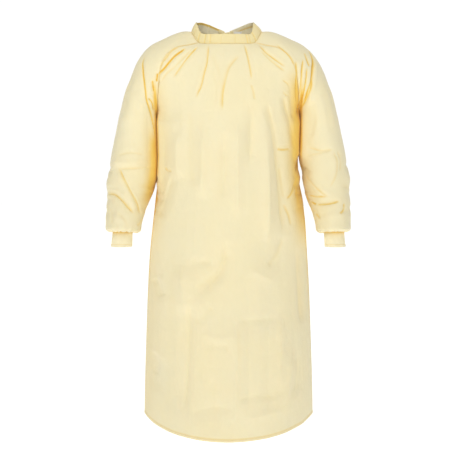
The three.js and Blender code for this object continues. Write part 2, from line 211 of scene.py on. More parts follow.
def row_at(rows, place):
    """One row of a table at any place between its rows, on a smooth curve through them."""
    place = np.asarray(place, float)
    last = len(next(iter(rows.values()))) - 1
    i = np.clip(np.floor(place).astype(int), 0, last - 1)
    f = np.clip(place - i, 0, 1)
    result = {}
    for name, values in rows.items():
        a, b, c, d = (values[np.clip(i + k, 0, last)] for k in (-1, 0, 1, 2))
        slope_b = (c - a) / 2
        slope_c = (d - b) / 2
        bend = 3 * (c - b) - 2 * slope_b - slope_c
        turn = slope_b + slope_c - 2 * (c - b)
        result[name] = b + f * (slope_b + f * (bend + f * turn))
    return result


def vectors(x, y, z):
    return np.stack(np.broadcast_arrays(x, y, z), axis=-1)


def unit(v):
    return v / np.maximum(np.linalg.norm(v, axis=-1, keepdims=True), 1e-9)


# Smooth noise on a lattice, the same in every run
LATTICE = np.random.default_rng(SEED).uniform(-1, 1, (64, 64))


def noise(u, v):
    """Smooth noise from -1 to 1 with features one unit wide."""
    u, v = np.broadcast_arrays(np.asarray(u, float), np.asarray(v, float))
    i = np.floor(u).astype(int)
    j = np.floor(v).astype(int)
    f = u - i
    g = v - j
    f = f * f * f * (f * (6 * f - 15) + 10)
    g = g * g * g * (g * (6 * g - 15) + 10)
    a = LATTICE[i % 64, j % 64]
    b = LATTICE[(i + 1) % 64, j % 64]
    c = LATTICE[i % 64, (j + 1) % 64]
    d = LATTICE[(i + 1) % 64, (j + 1) % 64]
    return (a * (1 - f) + b * f) * (1 - g) + (c * (1 - f) + d * f) * g


# The form of the gown


def shift_neck(points):
    """The neck opening sits a little to the wearer's right, as the collar hangs."""
    points[..., 0] += NECK_OFFSET * smoothstep(points[..., 2], -NECK_OFFSET_REACH, 0)
    return points


def sleeve_point(place, round_):
    """A point of the left sleeve: round_ goes from -1 at the front seam to 1 at the back seam."""
    row = row_at(SLEEVE, place)
    front = round_ < 0
    turn = np.radians(np.minimum(180, np.where(front, row["frontTurn"], row["backTurn"])))
    angle = np.abs(round_) * turn
    reach = (1 - np.cos(angle)) / (1 - np.cos(turn))
    depth = np.where(front, -row["frontFull"], row["backFull"]) * np.sin(angle)
    tilt = np.radians(row["tilt"])
    seam_x = np.where(front, row["frontX"], row["backX"])
    seam_z = np.where(front, row["frontZ"], row["backZ"])
    return vectors(
        row["outX"] + (seam_x - row["outX"]) * reach,
        row["outY"] + depth * np.cos(tilt),
        row["outZ"] + (seam_z - row["outZ"]) * reach - depth * np.sin(tilt),
    )


def seam_point(place, facing):
    """The left edge of the front (facing -1) or the back (facing 1)."""
    on_raglan = sleeve_point(np.minimum(place, UNDERARM), np.full(np.shape(place), float(facing)))
    row = row_at(SIDE_SEAM, np.maximum(place - UNDERARM, 0))
    below = vectors(row["x"], row["y"], row["z"])
    return np.where((place <= UNDERARM)[..., None], on_raglan, below)


def torso_point(place, across, facing):
    """A point of the front or the back: across goes from -1 at the right seam to 1 at the left."""
    row = row_at(TORSO, place)
    seam = seam_point(place, facing)
    turn = np.radians(row["frontTurn"] if facing < 0 else row["backTurn"])
    centre_y = row["chestY"] if facing < 0 else row["spineY"]
    centre_z = row["chestZ"] if facing < 0 else row["spineZ"]
    angle = across * turn
    reach = (1 - np.cos(angle)) / (1 - np.cos(turn))
    return vectors(
        seam[..., 0] * np.sin(angle) / np.sin(turn),
        centre_y + (seam[..., 1] - centre_y) * reach,
        centre_z + (seam[..., 2] - centre_z) * reach,
    )


def back_point(place, share, side):
    """A point of a back panel, share 0 at its free edge. side is 1 for the left back, which laps outside."""
    row = row_at(TORSO, place)
    turn = np.radians(row["backTurn"])
    edge = np.arcsin(-row["overlap"] * np.sin(turn) / seam_point(place, 1)[..., 0]) / turn
    point = torso_point(place, edge + (1 - edge) * share, 1)
    lapped = 1 - smoothstep(point[..., 0], row["overlap"], row["overlap"] + OVERLAP_RAMP)
    point[..., 1] += side * OVERLAP_STEP * lapped
    dip = NECK_DIP * np.exp(-((point[..., 0] / NECK_DIP_WIDTH) ** 2))
    point[..., 2] -= dip * (1 - smoothstep(place, 0, 2))
    point[..., 0] *= side
    return point


def neck_edge(rounds):
    """The neck edge from the left back's free end round the front to the right back's."""
    back = np.linspace(0, 1, 90)
    side = np.linspace(-1, 1, 90)
    front = np.linspace(-1, 1, 180)
    zero = np.zeros
    left_back = back_point(zero(90), back, 1)
    left = sleeve_point(zero(90), side)[::-1]
    middle = torso_point(zero(180), front, -1)[::-1]
    right = sleeve_point(zero(90), side) * (-1, 1, 1)
    right_back = back_point(zero(90), back, -1)[::-1]
    edge = np.concatenate([left_back, left[1:], middle[1:], right[1:], right_back[1:]])
    edge = shift_neck(edge)
    along = np.concatenate([[0], np.cumsum(np.linalg.norm(np.diff(edge, axis=0), axis=1))])
    even = np.linspace(0, along[-1], int(along[-1] / 1.6))
    smooth = np.stack([np.interp(even, along, edge[:, k]) for k in range(3)], axis=1)
    for _ in range(rounds):
        smooth[1:-1] = 0.25 * smooth[:-2] + 0.5 * smooth[1:-1] + 0.25 * smooth[2:]
    return smooth


def from_neck(points):
    """The level direction out of the neck opening."""
    out = points - (NECK_OFFSET, NECK_MIDDLE_Y, 0)
    out[..., 2] = 0
    return unit(out)


RAW_EDGE = neck_edge(0)
EDGE = neck_edge(NECK_ROUNDS)


# Grids of points


def even_places(line, last, step_at):
    """Places from 0 to last. step_at gives the distance between points at each height."""
    fine = np.linspace(0, last, 1200)
    points = line(fine)
    steps = np.linalg.norm(np.diff(points, axis=0), axis=1) / step_at(points[1:, 2])
    along = np.concatenate([[0], np.cumsum(steps)])
    return np.interp(np.linspace(0, along[-1], whole(along[-1]) + 1), along, fine)


def whole(count):
    """The next count that the coarser inside grid divides."""
    return int(math.ceil(count / COARSER)) * COARSER


def torso_step(z):
    return TOP_STEP + (SKIRT_STEP - TOP_STEP) * smoothstep(-z, 380, 620)


def sleeve_step(z):
    return SLEEVE_ROW_STEP + 0 * z


torso_places = even_places(lambda p: torso_point(p, np.zeros(len(p)), -1), HEM, torso_step)
sleeve_places = even_places(lambda p: sleeve_point(p, np.zeros(len(p))), SLEEVE_END, sleeve_step)


def panel(places, shares, point_at):
    """A grid of points: the rows follow the places down, and the columns follow the shares round."""
    p, s = np.meshgrid(places, shares, indexing="ij")
    return shift_neck(point_at(p, s))


def shares_round(length, step):
    return np.linspace(0, 1, whole(length / step) + 1)


def panel_grids():
    """The five panels' outer points, columns going round the wearer from the right side to the front."""
    front_shares = shares_round(FRONT_ROUND, FRONT_COLUMN_STEP) * 2 - 1
    back_shares = shares_round(BACK_ROUND, BACK_COLUMN_STEP)
    sleeve_shares = shares_round(SLEEVE_ROUND, SLEEVE_COLUMN_STEP) * 2 - 1

    def mirrored(p, s):
        point = sleeve_point(p, -s)
        point[..., 0] *= -1
        return point

    made = {
        "front": panel(torso_places, front_shares, lambda p, s: torso_point(p, s, -1)),
        "back_left": panel(torso_places, back_shares, lambda p, s: back_point(p, 1 - s, 1)),
        "back_right": panel(torso_places, back_shares, lambda p, s: back_point(p, s, -1)),
        "sleeve_left": panel(sleeve_places, sleeve_shares, sleeve_point),
        "sleeve_right": panel(sleeve_places, sleeve_shares, mirrored),
    }
    for name, grid in made.items():
        close_gap(name, grid)
        round_neck(grid)
    return made


def beside_body(x, z):
    """How far, from 0 to 1, a sleeve lies against the body's side at a height."""
    end = np.where(x < 0, GAP_TOP_RIGHT, GAP_TOP_LEFT)
    return smoothstep(-z, 205, 250) * (1 - smoothstep(-z, end - 22, end + 8))


def contact(z):
    """Where the sleeve's inner line and the body's side are at a height, and halfway between."""
    sleeve_x = np.interp(-z, -SLEEVE["frontZ"][8:], SLEEVE["frontX"][8:])
    body_x = np.interp(-z, -SIDE_SEAM["z"], SIDE_SEAM["x"])
    return sleeve_x, body_x, (sleeve_x + body_x) / 2


def flattened(recess):
    """Keeps cloth that recedes only a little on the plane where sleeve and body meet."""
    return recess * smoothstep(recess, 5, 24)


def close_gap(name, grid):
    """Below the underarm the sleeves hang against the body's sides, pressed flat there."""
    x, z = grid[..., 0], grid[..., 2]
    size = np.abs(x)
    sleeve_x, body_x, middle = contact(z)
    beside = beside_body(x, z)
    left = x > 0
    if name.startswith("sleeve"):
        recess = np.maximum(size - sleeve_x, 0)
        size += beside * (flattened(recess) - recess)
        moved = (middle + CONTACT_GAP - sleeve_x) * np.exp(-((recess / 20) ** 2)) * beside
        opened = smoothstep(-z, 352, 405) * (1 - smoothstep(-z, 415, 480))
        moved += 9 * left * opened * np.exp(-((recess / 30) ** 2))
    else:
        recess = np.maximum(body_x - size, 0)
        size += beside * (recess - flattened(recess)) * (recess < 60)
        moved = (middle - CONTACT_GAP - body_x) * smoothstep(size, body_x - 30, body_x) * beside
        wider = smoothstep(-z, 420, 480) * (1 - smoothstep(-z, 520, 640))
        moved += 4 * left * wider * smoothstep(size, body_x - 40, body_x)
    grid[..., 0] = np.sign(x) * (size + moved)


def round_neck(grid):
    """Rounds the corners of the neck opening, fading out below it."""
    top = grid[0]
    nearest_raw = np.argmin(np.linalg.norm(top[:, None] - RAW_EDGE[None], axis=2), axis=1)
    moved = (EDGE - RAW_EDGE)[nearest_raw]
    fade = np.exp(-((distance_along(grid, 0) / NECK_FADE) ** 2))
    grid += moved[None] * fade[..., None]


def normals_of(points, closed=False):
    """Outward normals of a grid whose rows go down and whose columns go round."""
    down = np.gradient(points, axis=0)
    if closed:
        across = np.roll(points, -1, axis=1) - np.roll(points, 1, axis=1)
    else:
        across = np.gradient(points, axis=1)
    return unit(np.cross(down, across))


def distance_along(points, axis):
    """How far each point of a grid is from the start of its row or column."""
    steps = np.linalg.norm(np.diff(points, axis=axis), axis=-1)
    start = np.zeros_like(np.take(steps, [0], axis=axis))
    return np.concatenate([start, np.cumsum(steps, axis=axis)], axis=axis)


# For each side that folds are seen from: the axis along it, the axis it faces, and which way
VIEWS = {"front": (0, 1, -1), "back": (0, 1, 1), "left": (1, 0, 1), "right": (1, 0, -1)}

# Folds of each side: half width, depth (below 0 for a ridge), lean (which makes one side
# steeper), painted shade (how far the doubled, shaded cloth in it is painted gold and amber) and the points
# of its line
FRONT_FOLDS = [
    # Pleats, creases and drag lines of the front and the sleeves
    (3.4, 3.6, 0.5, 1.0, (-230, -63), (-239, -87), (-237, -110), (-233, -140), (-229, -170),
     (-227, -190), (-221, -213), (-214, -243), (-208, -282), (-205, -312), (-204, -340)),
    (3.2, 2.6, 0.4, 0.6, (-225, -188), (-217, -191), (-211, -204), (-211, -220)),
    (3.2, 2.2, 0.5, 0.45, (-132, -47), (-153, -57), (-170, -79), (-182, -94), (-190, -111)),
    (3.6, 4.2, 0.5, 1.0, (-115, -50), (-144, -71), (-161, -89), (-176, -106), (-189, -118),
     (-196, -129)),
    (3.2, 4.2, -0.4, 1.0, (-194, -119), (-195, -130), (-197, -143)),
    (3.4, 4.6, -0.4, 1.0, (-208, -137), (-207, -151), (-204, -170)),
    (3.4, 3.2, 0.5, 0.55, (-82, -45), (-106, -72), (-131, -106), (-152, -134)),
    (3.6, 1.6, 0.3, 0.25, (-98, -54), (-123, -80), (-148, -105), (-169, -121), (-189, -149)),
    (3.4, 3.6, -0.5, 0.55, (-53, -38), (-56, -90), (-64, -123), (-72, -157), (-80, -174), (-86, -192)),
    (8, 1.6, 0, 0.15, (-47, -64), (-36, -91), (-26, -119), (-24, -168)),
    (7, 1.6, 0, 0.1, (-41, -103), (-33, -155), (-30, -209)),
    (5, 3.2, -0.5, 0.4, (35, -72), (18, -87), (2, -111), (-8, -147), (-14, -182), (-15, -227)),
    (3.2, 3.0, 0.4, 0.45, (43, -39), (52, -78), (59, -114), (63, -141)),
    (4, 1.8, 0.2, 0.25, (61, -152), (68, -176), (70, -195)),
    (3.4, 3.0, 0.5, 0.45, (82, -38), (100, -63), (127, -85), (157, -106)),
    (3.6, 2.0, 0.3, 0.3, (87, -57), (114, -86), (138, -105), (157, -118)),
    (3.4, 1.8, 0.3, 0.3, (146, -139), (163, -150), (169, -165)),
    (3.2, 2.2, 0, 0.3, (150, -171), (158, -179), (170, -181)),
    (8, 4.2, -0.5, 0.3, (108, -203), (115, -233), (126, -274), (134, -316), (140, -356)),
    (6, 5.0, -0.4, 0.5, (151, -174), (159, -212), (170, -248), (179, -290), (189, -329)),
    (6, 2.6, 0, 0.35, (169, -160), (175, -202), (179, -246)),
    (5, 3.0, 0.3, 0.5, (136, -326), (151, -329), (172, -326)),
    (6, 3.6, -0.4, 0.45, (146, -370), (152, -412), (160, -467)),
    (5, 3.4, 0.4, 0.55, (163, -467), (175, -454), (185, -430), (194, -400)),
    (5, 2.4, 0.3, 0.3, (157, -475), (169, -509), (175, -540)),
    (3.2, 2.8, 0.4, 0.6, (130, -41), (151, -59), (169, -79), (181, -103)),
    (3.4, 3.4, 0.4, 0.8, (184, -84), (186, -125), (186, -164), (188, -202)),
    (3.0, 3.0, 0.4, 0.7, (206, -77), (201, -116), (198, -154), (192, -191)),
    (3.2, 3.4, -0.4, 0.8, (218, -99), (214, -137), (208, -170), (198, -201)),
    (3.2, 3.4, 0.4, 0.8, (234, -79), (230, -126), (227, -159), (210, -199), (199, -222)),
    (3.8, 5.0, 0.6, 1.0, (219, -41), (231, -61), (235, -85), (231, -117), (226, -143), (216, -171),
     (206, -208)),
    (3.2, 2.8, 0.4, 0.6, (210, -60), (216, -78), (224, -101)),
    (3.8, 4.8, 0.5, 1.0, (208, -170), (200, -188), (196, -207), (192, -233)),
    (7, -2.4, 0, 0, (208, -121), (208, -148), (201, -169)),
    (4, 3.5, -0.5, 0.35, (-306, -373), (-286, -417), (-267, -455), (-254, -481), (-246, -515)),
    (4.4, 3.7, 0.5, 0.38, (-348, -455), (-324, -453), (-302, -466), (-281, -487), (-262, -509)),
    (4, 1.6, 0.3, 0.12, (-311, -346), (-272, -337), (-231, -344)),
    (4.4, 2.2, 0.4, 0.15, (-310, -383), (-252, -380), (-219, -375)),
    (7, 3.4, -0.4, 1.0, (-212, -326), (-214, -357), (-215, -391), (-220, -431)),
    (4, 2.6, 0.2, 0.4, (-256, -541), (-247, -533), (-244, -521)),
    (6, 2.0, 0.3, 0.15, (-307, -503), (-290, -520), (-281, -542)),
    (6, 2.2, 0.3, 0.15, (-340, -486), (-325, -506), (-324, -534)),
    (7, -2.2, 0, 0, (-297, -445), (-277, -476), (-264, -499)),
    (9, 2.4, 0.3, 0.08, (-270, -105), (-281, -176), (-292, -245)),
    (10, 2.2, -0.3, 0.06, (-254, -136), (-252, -192), (-262, -268), (-274, -323)),
    (8, 2.0, 0.3, 0.05, (-247, -214), (-251, -260), (-266, -329)),
    (4.2, 1.9, 0.4, 0.2, (220, -321), (257, -332), (296, -328)),
    (4, 1.4, 0.3, 0.12, (209, -352), (232, -343), (261, -337), (292, -330)),
    (4, 2.3, -0.5, 0.18, (296, -330), (304, -360), (301, -399), (283, -437)),
    (4, 1.8, 0.4, 0.15, (305, -329), (313, -357), (311, -390)),
    (4, 2.7, 0.4, 0.22, (215, -394), (233, -416), (258, -446), (281, -462)),
    (4, 3.4, 0.2, 0.45, (224, -457), (246, -460), (276, -458)),
    (3.6, 3.8, 0, 0.7, (231, -476), (238, -480), (244, -483)),
    (3.8, 3.4, 0.5, 0.5, (242, -484), (274, -480), (314, -471)),
    (4.2, 3.6, 0, 0.5, (325, -476), (322, -496), (308, -506)),
    (3.8, 3.0, 0.3, 0.4, (243, -508), (256, -521)),
    (9, 2.2, 0.3, 0.05, (259, -163), (277, -224), (289, -287)),
    (8, 2.2, -0.3, 0.06, (234, -192), (238, -246), (229, -296)),
    (4.5, 2.6, 0.4, 0.3, (-181, -377), (-168, -388), (-153, -387)),
    (9, 3.2, 0.5, 0.12, (-153, -395), (-168, -440), (-184, -485), (-204, -519)),
    # Soft waves of the front
    (14, -2.8, 0, 0, (-135, -275), (-137, -345), (-134, -409)),
    (12, 3.2, 0.2, 0.12, (-103, -222), (-104, -330), (-101, -436)),
    (14, -3.0, 0, 0, (-68, -249), (-67, -360), (-70, -463)),
    (13, 2.8, 0, 0.08, (-14, -275), (-12, -360), (-16, -463)),
    (15, -2.4, 0, 0, (26, -249), (24, -380), (27, -517)),
    (12, 2.8, 0, 0.1, (64, -195), (63, -280), (60, -356)),
    (14, -4.0, 0, 0, (102, -275), (104, -430), (103, -597)),
    (11, 4.6, 0.35, 0.3, (112, -208), (126, -300), (148, -463), (153, -570)),
    (9, 2.0, -0.2, 0.25, (153, -566), (147, -592), (138, -612), (107, -648)),
    (9, 2.0, 0, 0.1, (-103, -628), (-74, -632), (-44, -630)),
    (11, 3.0, 0.3, 0.14, (-11, -584), (-17, -651), (-52, -680), (-90, -705)),
    (10, 2.0, 0, 0.08, (-44, -746), (-66, -775), (-90, -800)),
    (10, 1.6, 0, 0.06, (-63, -859), (-30, -857), (5, -861)),
    (7, 2.0, 0.4, 0.1, (26, -781), (27, -900), (25, -1000), (26, -1085)),
    (8, 1.8, -0.3, 0.08, (140, -786), (141, -900), (138, -1003)),
    (8, 1.6, 0, 0.06, (24, -786), (80, -790), (138, -786)),
    (8, 1.4, 0, 0.06, (22, -1003), (80, -1000), (138, -1004)),
    (8, 1.8, 0.3, 0.08, (-109, -732), (-113, -900), (-125, -1058)),
    (11, -1.6, 0.3, 0, (167, -908), (173, -962), (154, -1003), (119, -1025)),
    (13, 1.6, 0, 0.12, (178, -870), (188, -960), (168, -1020), (128, -1046)),
    (13, 3.0, 0, 0.2, (-214, -690), (-198, -719), (-186, -740)),
    (12, 2.6, 0, 0.16, (-212, -900), (-210, -970)),
    (12, 3.0, 0.3, 0.25, (197, -600), (204, -720), (210, -830)),
    (14, 2.4, 0, 0.06, (-40, -940), (-36, -1020), (-44, -1100)),
    (16, -2.2, 0, 0, (78, -640), (84, -820), (86, -1090)),
    (16, 2.0, 0, 0.06, (-150, -560), (-160, -760), (-168, -1080)),
]
BACK_FOLDS = [
    (6, 3.2, 0.3, 0.3, (74, -20), (84, -90), (96, -160), (104, -250)),
    (6, 3.0, -0.3, 0.3, (-76, -20), (-88, -90), (-98, -170), (-108, -240)),
    (5, 2.6, 0.3, 0.25, (104, -30), (130, -70), (158, -118)),
    (5, 2.8, -0.3, 0.25, (-106, -30), (-134, -76), (-160, -124)),
    (13, 3.6, 0.2, 0.15, (118, -270), (124, -420), (134, -600), (132, -780)),
    (13, 3.8, -0.2, 0.15, (-116, -250), (-122, -400), (-130, -620), (-136, -830)),
    (15, -3.2, 0, 0, (160, -300), (168, -500), (176, -800)),
    (14, -2.8, 0, 0, (-164, -320), (-170, -560), (-178, -760)),
    (14, 3.0, 0, 0.1, (140, -760), (144, -920), (146, -1100)),
    (15, 3.0, 0, 0.1, (-186, -520), (-192, -760), (-196, -1080)),
    (12, 2.6, 0.2, 0.1, (-110, -800), (-114, -960), (-108, -1105)),
    (12, -2.4, 0, 0, (186, -700), (194, -900), (200, -1090)),
    (7, 4.2, 0.3, 0.5, (180, -110), (196, -170), (203, -240)),
    (7, 4.2, -0.3, 0.5, (-182, -110), (-197, -175), (-203, -240)),
    (6, 2.6, 0.3, 0.3, (334, -326), (290, -352), (232, -388)),
    (6, 2.5, 0.3, 0.3, (-228, -346), (-280, -372), (-336, -410)),
    (6, 2.6, -0.3, 0.3, (340, -420), (296, -446), (246, -470)),
    (6, 2.4, 0.2, 0.3, (-338, -440), (-300, -470), (-256, -500)),
    (8, 3.0, 0, 0.2, (262, -130), (270, -200), (262, -270)),
    (8, 3.0, 0, 0.2, (-258, -120), (-268, -210), (-262, -280)),
]
LEFT_FOLDS = [
    # Outer sides of the sleeves, seen from the side
    (8, 1.9, 0.2, 0.2, (-50, -150), (-10, -220), (6, -300)),
    (7, 2.4, 0.3, 0.35, (50, -330), (14, -362), (-46, -382)),
    (7, 2.5, -0.3, 0.35, (40, -420), (0, -436), (-64, -430)),
    (7, 1.9, 0.2, 0.25, (10, -500), (-30, -492), (-84, -500)),
]
RIGHT_FOLDS = [
    (8, 1.8, 0.2, 0.2, (-46, -130), (-6, -210), (4, -280)),
    (7, 2.4, 0.3, 0.35, (52, -350), (10, -372), (-50, -392)),
    (7, 2.4, -0.3, 0.35, (36, -436), (-6, -450), (-70, -446)),
    (7, 1.9, 0.2, 0.25, (8, -508), (-36, -500), (-88, -512)),
]
FOLDS = {"front": FRONT_FOLDS, "back": BACK_FOLDS, "left": LEFT_FOLDS, "right": RIGHT_FOLDS}

# Broad folds of each side: half width, depth (below 0 for a crest) and the line's points
FRONT_FACETS = [
    (30, -6, (-345, -366), (-301, -364), (-225, -360)),
    (24, -6.5, (-312, -378), (-294, -417), (-276, -455), (-254, -500)),
    (20, 5, (-350, -452), (-324, -453), (-302, -468), (-262, -512)),
    (24, -4, (-330, -505), (-300, -520), (-270, -540)),
    (24, 4.5, (214, -326), (257, -334), (300, -328)),
    (28, -6, (212, -384), (241, -424), (292, -456)),
    (18, 5.5, (222, -470), (246, -478), (320, -470)),
    (18, -5, (296, -335), (300, -370), (296, -405), (278, -437)),
    (22, -3.5, (262, -512), (300, -510), (330, -500)),
    (22, -4, (-262, -80), (-284, -176), (-300, -280)),
    (22, -4, (262, -120), (286, -210), (300, -290)),
    (32, -5, (26, -770), (27, -900), (25, -1100)),
    (34, 4.5, (-109, -700), (-116, -880), (-125, -1080)),
    (26, -4.5, (140, -770), (141, -900), (136, -1010)),
    (24, 4.5, (-6, -560), (-17, -640), (-52, -690), (-98, -735)),
    (30, -4.5, (-128, -640), (-124, -700), (-116, -790)),
    (24, 4.5, (190, -590), (200, -700), (207, -830)),
    (26, -6, (102, -285), (105, -430), (106, -590)),
    (20, 5.5, (128, -300), (146, -440), (153, -560)),
    (28, 3, (152, -560), (138, -612), (104, -660)),
    (28, -3, (50, -640), (90, -670), (136, -690)),
    (24, -4, (-136, -270), (-138, -345), (-134, -420)),
    (26, -4, (-68, -260), (-67, -360), (-70, -470)),
    (26, 3.5, (-14, -275), (-12, -370), (-16, -480)),
    (26, -4, (26, -230), (24, -380), (27, -520)),
    (24, 4, (64, -215), (62, -290), (58, -390)),
    (32, -3, (172, -860), (174, -940), (160, -1010), (120, -1060)),
    (22, 3, (190, -870), (196, -960), (178, -1030)),
    (24, 2.5, (-214, -650), (-200, -715), (-190, -760)),
    (24, 2.5, (-196, -900), (-206, -960), (-204, -1020)),
    (34, 1.8, (10, -800), (80, -790), (160, -800)),
    (34, 2, (10, -1010), (86, -990), (160, -1000)),
    (30, -2, (30, -1060), (100, -1050), (170, -1050)),
    (30, 2, (-130, -650), (-74, -634), (-10, -640)),
    (34, -1.5, (-90, -820), (-24, -836), (40, -820)),
    (30, 2, (-110, -1050), (-30, -1024), (30, -1040)),
]
BACK_FACETS = [
    (26, -6, (102, -250), (112, -430), (120, -620)),
    (26, 5.5, (134, -280), (146, -470), (152, -640)),
    (26, -6, (-104, -250), (-116, -440), (-124, -660)),
    (24, 5.5, (-136, -290), (-146, -470), (-158, -700)),
    (32, -5, (170, -690), (178, -860), (186, -1080)),
    (30, 4.5, (110, -780), (118, -940), (122, -1090)),
    (32, -5, (-176, -740), (-184, -900), (-190, -1080)),
    (30, 4, (-120, -840), (-126, -980), (-124, -1090)),
    (24, -3, (330, -350), (290, -372), (236, -404)),
    (22, 3, (336, -408), (296, -432), (248, -458)),
    (24, -3, (-232, -362), (-280, -388), (-334, -428)),
    (22, 3, (-336, -458), (-300, -480), (-256, -506)),
]
LEFT_FACETS = [
    (24, 3, (50, -340), (14, -366), (-46, -388)),
    (24, -3, (46, -376), (4, -404), (-56, -412)),
    (22, 3, (30, -440), (-10, -452), (-70, -452)),
    (24, -2.5, (-30, -120), (-6, -200), (2, -290)),
]
RIGHT_FACETS = [
    (24, 3, (52, -356), (10, -380), (-50, -400)),
    (24, -3, (46, -392), (0, -420), (-60, -428)),
    (22, 3, (24, -462), (-20, -470), (-80, -468)),
    (24, -2.5, (-34, -110), (-8, -190), (2, -280)),
]
FACETS = {"front": FRONT_FACETS, "back": BACK_FACETS, "left": LEFT_FACETS, "right": RIGHT_FACETS}


def curve_through(points, step=6):
    """Points one step apart on a smooth curve through the given ones."""
    points = np.array(points, float)
    columns = {"u": points[:, 0], "v": points[:, 1]}
    fine = row_at(columns, np.linspace(0, len(points) - 1, 24 * len(points)))
    fine = np.stack([fine["u"], fine["v"]], axis=1)
    along = np.concatenate([[0], np.cumsum(np.linalg.norm(np.diff(fine, axis=0), axis=1))])
    even = np.linspace(0, along[-1], max(int(along[-1] / step), 4) + 1)
    return np.stack([np.interp(even, along, fine[:, k]) for k in (0, 1)], axis=1)


def nearest(points, line):
    """Distance from points to a line of points, share along it, and the side they are on."""
    best = np.full(len(points), np.inf)
    share = np.zeros(len(points))
    side = np.zeros(len(points))
    count = len(line) - 1
    for i in range(count):
        run = line[i + 1] - line[i]
        away = points - line[i]
        t = np.clip(away @ run / (run @ run), 0, 1)
        gap = away - t[:, None] * run
        distance = np.hypot(gap[:, 0], gap[:, 1])
        closer = distance < best
        best[closer] = distance[closer]
        share[closer] = (i + t[closer]) / count
        side[closer] = np.sign(run[0] * gap[closer, 1] - run[1] * gap[closer, 0])
    return best, share, side


FOLD_END = 0.16
FOLD_REACH = 3.4
FOLD_FACED = (0.1, 0.5)
SHOULDER_HEIGHT = 0.18
DEEPEST_FOLD = 6
FACET_SCALE = 2.0
FACET_END = 0.3
FACET_REACH = 3.5
FACET_FACED = (0.25, 0.8)


def lines_over(listed, points, normals, faced, reach, end):
    """Goes through a table of folds. For each it gives its number and values, which points are near
    its line, their distance from it in half widths, their share along it, their side of it, and its
    strength, which fades at its ends and where the cloth turns away from its view."""
    flat = points.reshape(-1, 3)
    facing = normals.reshape(-1, 3)
    rows = [(view, row) for view, view_rows in listed.items() for row in view_rows]
    for number, (view, row) in enumerate(rows):
        along_axis, facing_axis, sign = VIEWS[view]
        values = [item for item in row if not isinstance(item, tuple)]
        line = curve_through(row[len(values) :])
        margin = reach * values[0]
        seen = smoothstep(sign * facing[:, facing_axis], *faced)
        u, v = flat[:, along_axis], flat[:, 2]
        near = (seen > 0) & (u > line[:, 0].min() - margin) & (u < line[:, 0].max() + margin)
        near &= (v > line[:, 1].min() - margin) & (v < line[:, 1].max() + margin)
        if not near.any():
            continue
        distance, share, side = nearest(np.stack([u[near], v[near]], axis=1), line)
        fade = smoothstep(share, 0, end) * (1 - smoothstep(share, 1 - end, 1))
        yield number, values, near, distance / values[0], share, side, fade * seen[near]


def fold_field(points, normals):
    """How far the folds sink each point, and how much painted warm shade they lay there."""
    depth = np.zeros(points[..., 0].size)
    painted_shade = np.zeros_like(depth)
    folds = lines_over(FOLDS, points, normals, FOLD_FACED, FOLD_REACH, FOLD_END)
    for number, (width, fold_depth, lean, painted_crease_shade), near, t, share, side, strength in folds:
        t = t / (1 + lean * side)
        uneven = 0.85 + 0.3 * noise(share * 4.5 + 3.1 * number, number * 1.7)
        shoulder = SHOULDER_HEIGHT * (1 + 1.4 * lean * side)
        crisp = 0.5 * (1 - smoothstep(width, 4.5, 6.5))
        core_shape = (1 - crisp) * np.exp(-(t**2)) + 1.2 * crisp * np.exp(-1.5 * np.sqrt(t**2 + 0.02))
        shape = core_shape - shoulder * np.exp(-(((t - 2.1) / 0.9) ** 2))
        depth[near] += fold_depth * uneven * shape * strength
        # Painted shade: the core of each crease is painted gold and amber.
        core = painted_crease_shade * (0.25 + 1.5 * crisp) * uneven * np.exp(-((t / 0.65) ** 2)) * strength
        painted_shade[near] = np.maximum(painted_shade[near], core)
    depth = np.where(depth > 0, DEEPEST_FOLD * np.tanh(depth / DEEPEST_FOLD), depth)
    shape = points.shape[:-1]
    return depth.reshape(shape), painted_shade.reshape(shape)


def facet_field(points, normals):
    """Broad folds with a crisp crest or foot, which tilt flat areas of cloth."""
    depth = np.zeros(points[..., 0].size)
    facets = lines_over(FACETS, points, normals, FACET_FACED, FACET_REACH, FACET_END)
    for _, (_, facet_depth), near, t, _, _, strength in facets:
        shape = np.exp(-1.4 * (np.sqrt(t**2 + 0.006) - 0.077)) * (1 - smoothstep(t, 2, 3.4))
        depth[near] += FACET_SCALE * facet_depth * shape * strength
    on_sleeves = smoothstep(np.abs(points[..., 0]), 195, 215) * (points[..., 2] > -570)
    return depth.reshape(points.shape[:-1]) * (1 - 0.4 * on_sleeves)


def painted_side_shade(name, points):
    """Painted warm shade where a sleeve and the body's side face each other."""
    x, z = np.abs(points[..., 0]), points[..., 2]
    right = points[..., 0] < 0
    strength = np.where(right, 0.78, 0.62 + 0.38 * smoothstep(-z, 150, 190) * (1 - smoothstep(-z, 300, 350)))
    if name.startswith("sleeve"):
        tall = smoothstep(-z, 120, 200) * (1 - smoothstep(-z, 430, 520))
        edge = np.interp(-z, [245, 373, 446, 512], [203, 204, 215, 241])
        strip = strength * np.exp(-(((x - edge) / 5) ** 2))
        low = np.where(right, smoothstep(-z, 250, 320), 1)
        broad = low * np.where(right, 0.68, 0.12) * np.exp(-(((x - edge) / 19) ** 2))
        return tall * np.maximum(strip, broad)
    tall = smoothstep(-z, 90, 170)
    strength = strength * (1 - smoothstep(-z, 450, 900))
    edge = np.interp(-z, [245, 345, 474, 630, 1100], [202, 200, 211, 229, 249])
    strip = strength * np.exp(-(((edge - x) / 5) ** 2))
    fade = np.where(right, 0.1, 0.68 * (1 - smoothstep(-z, 430, 660)))
    broad = fade * np.exp(-(((edge - x) / 30) ** 2))
    return tall * np.maximum(strip, broad)


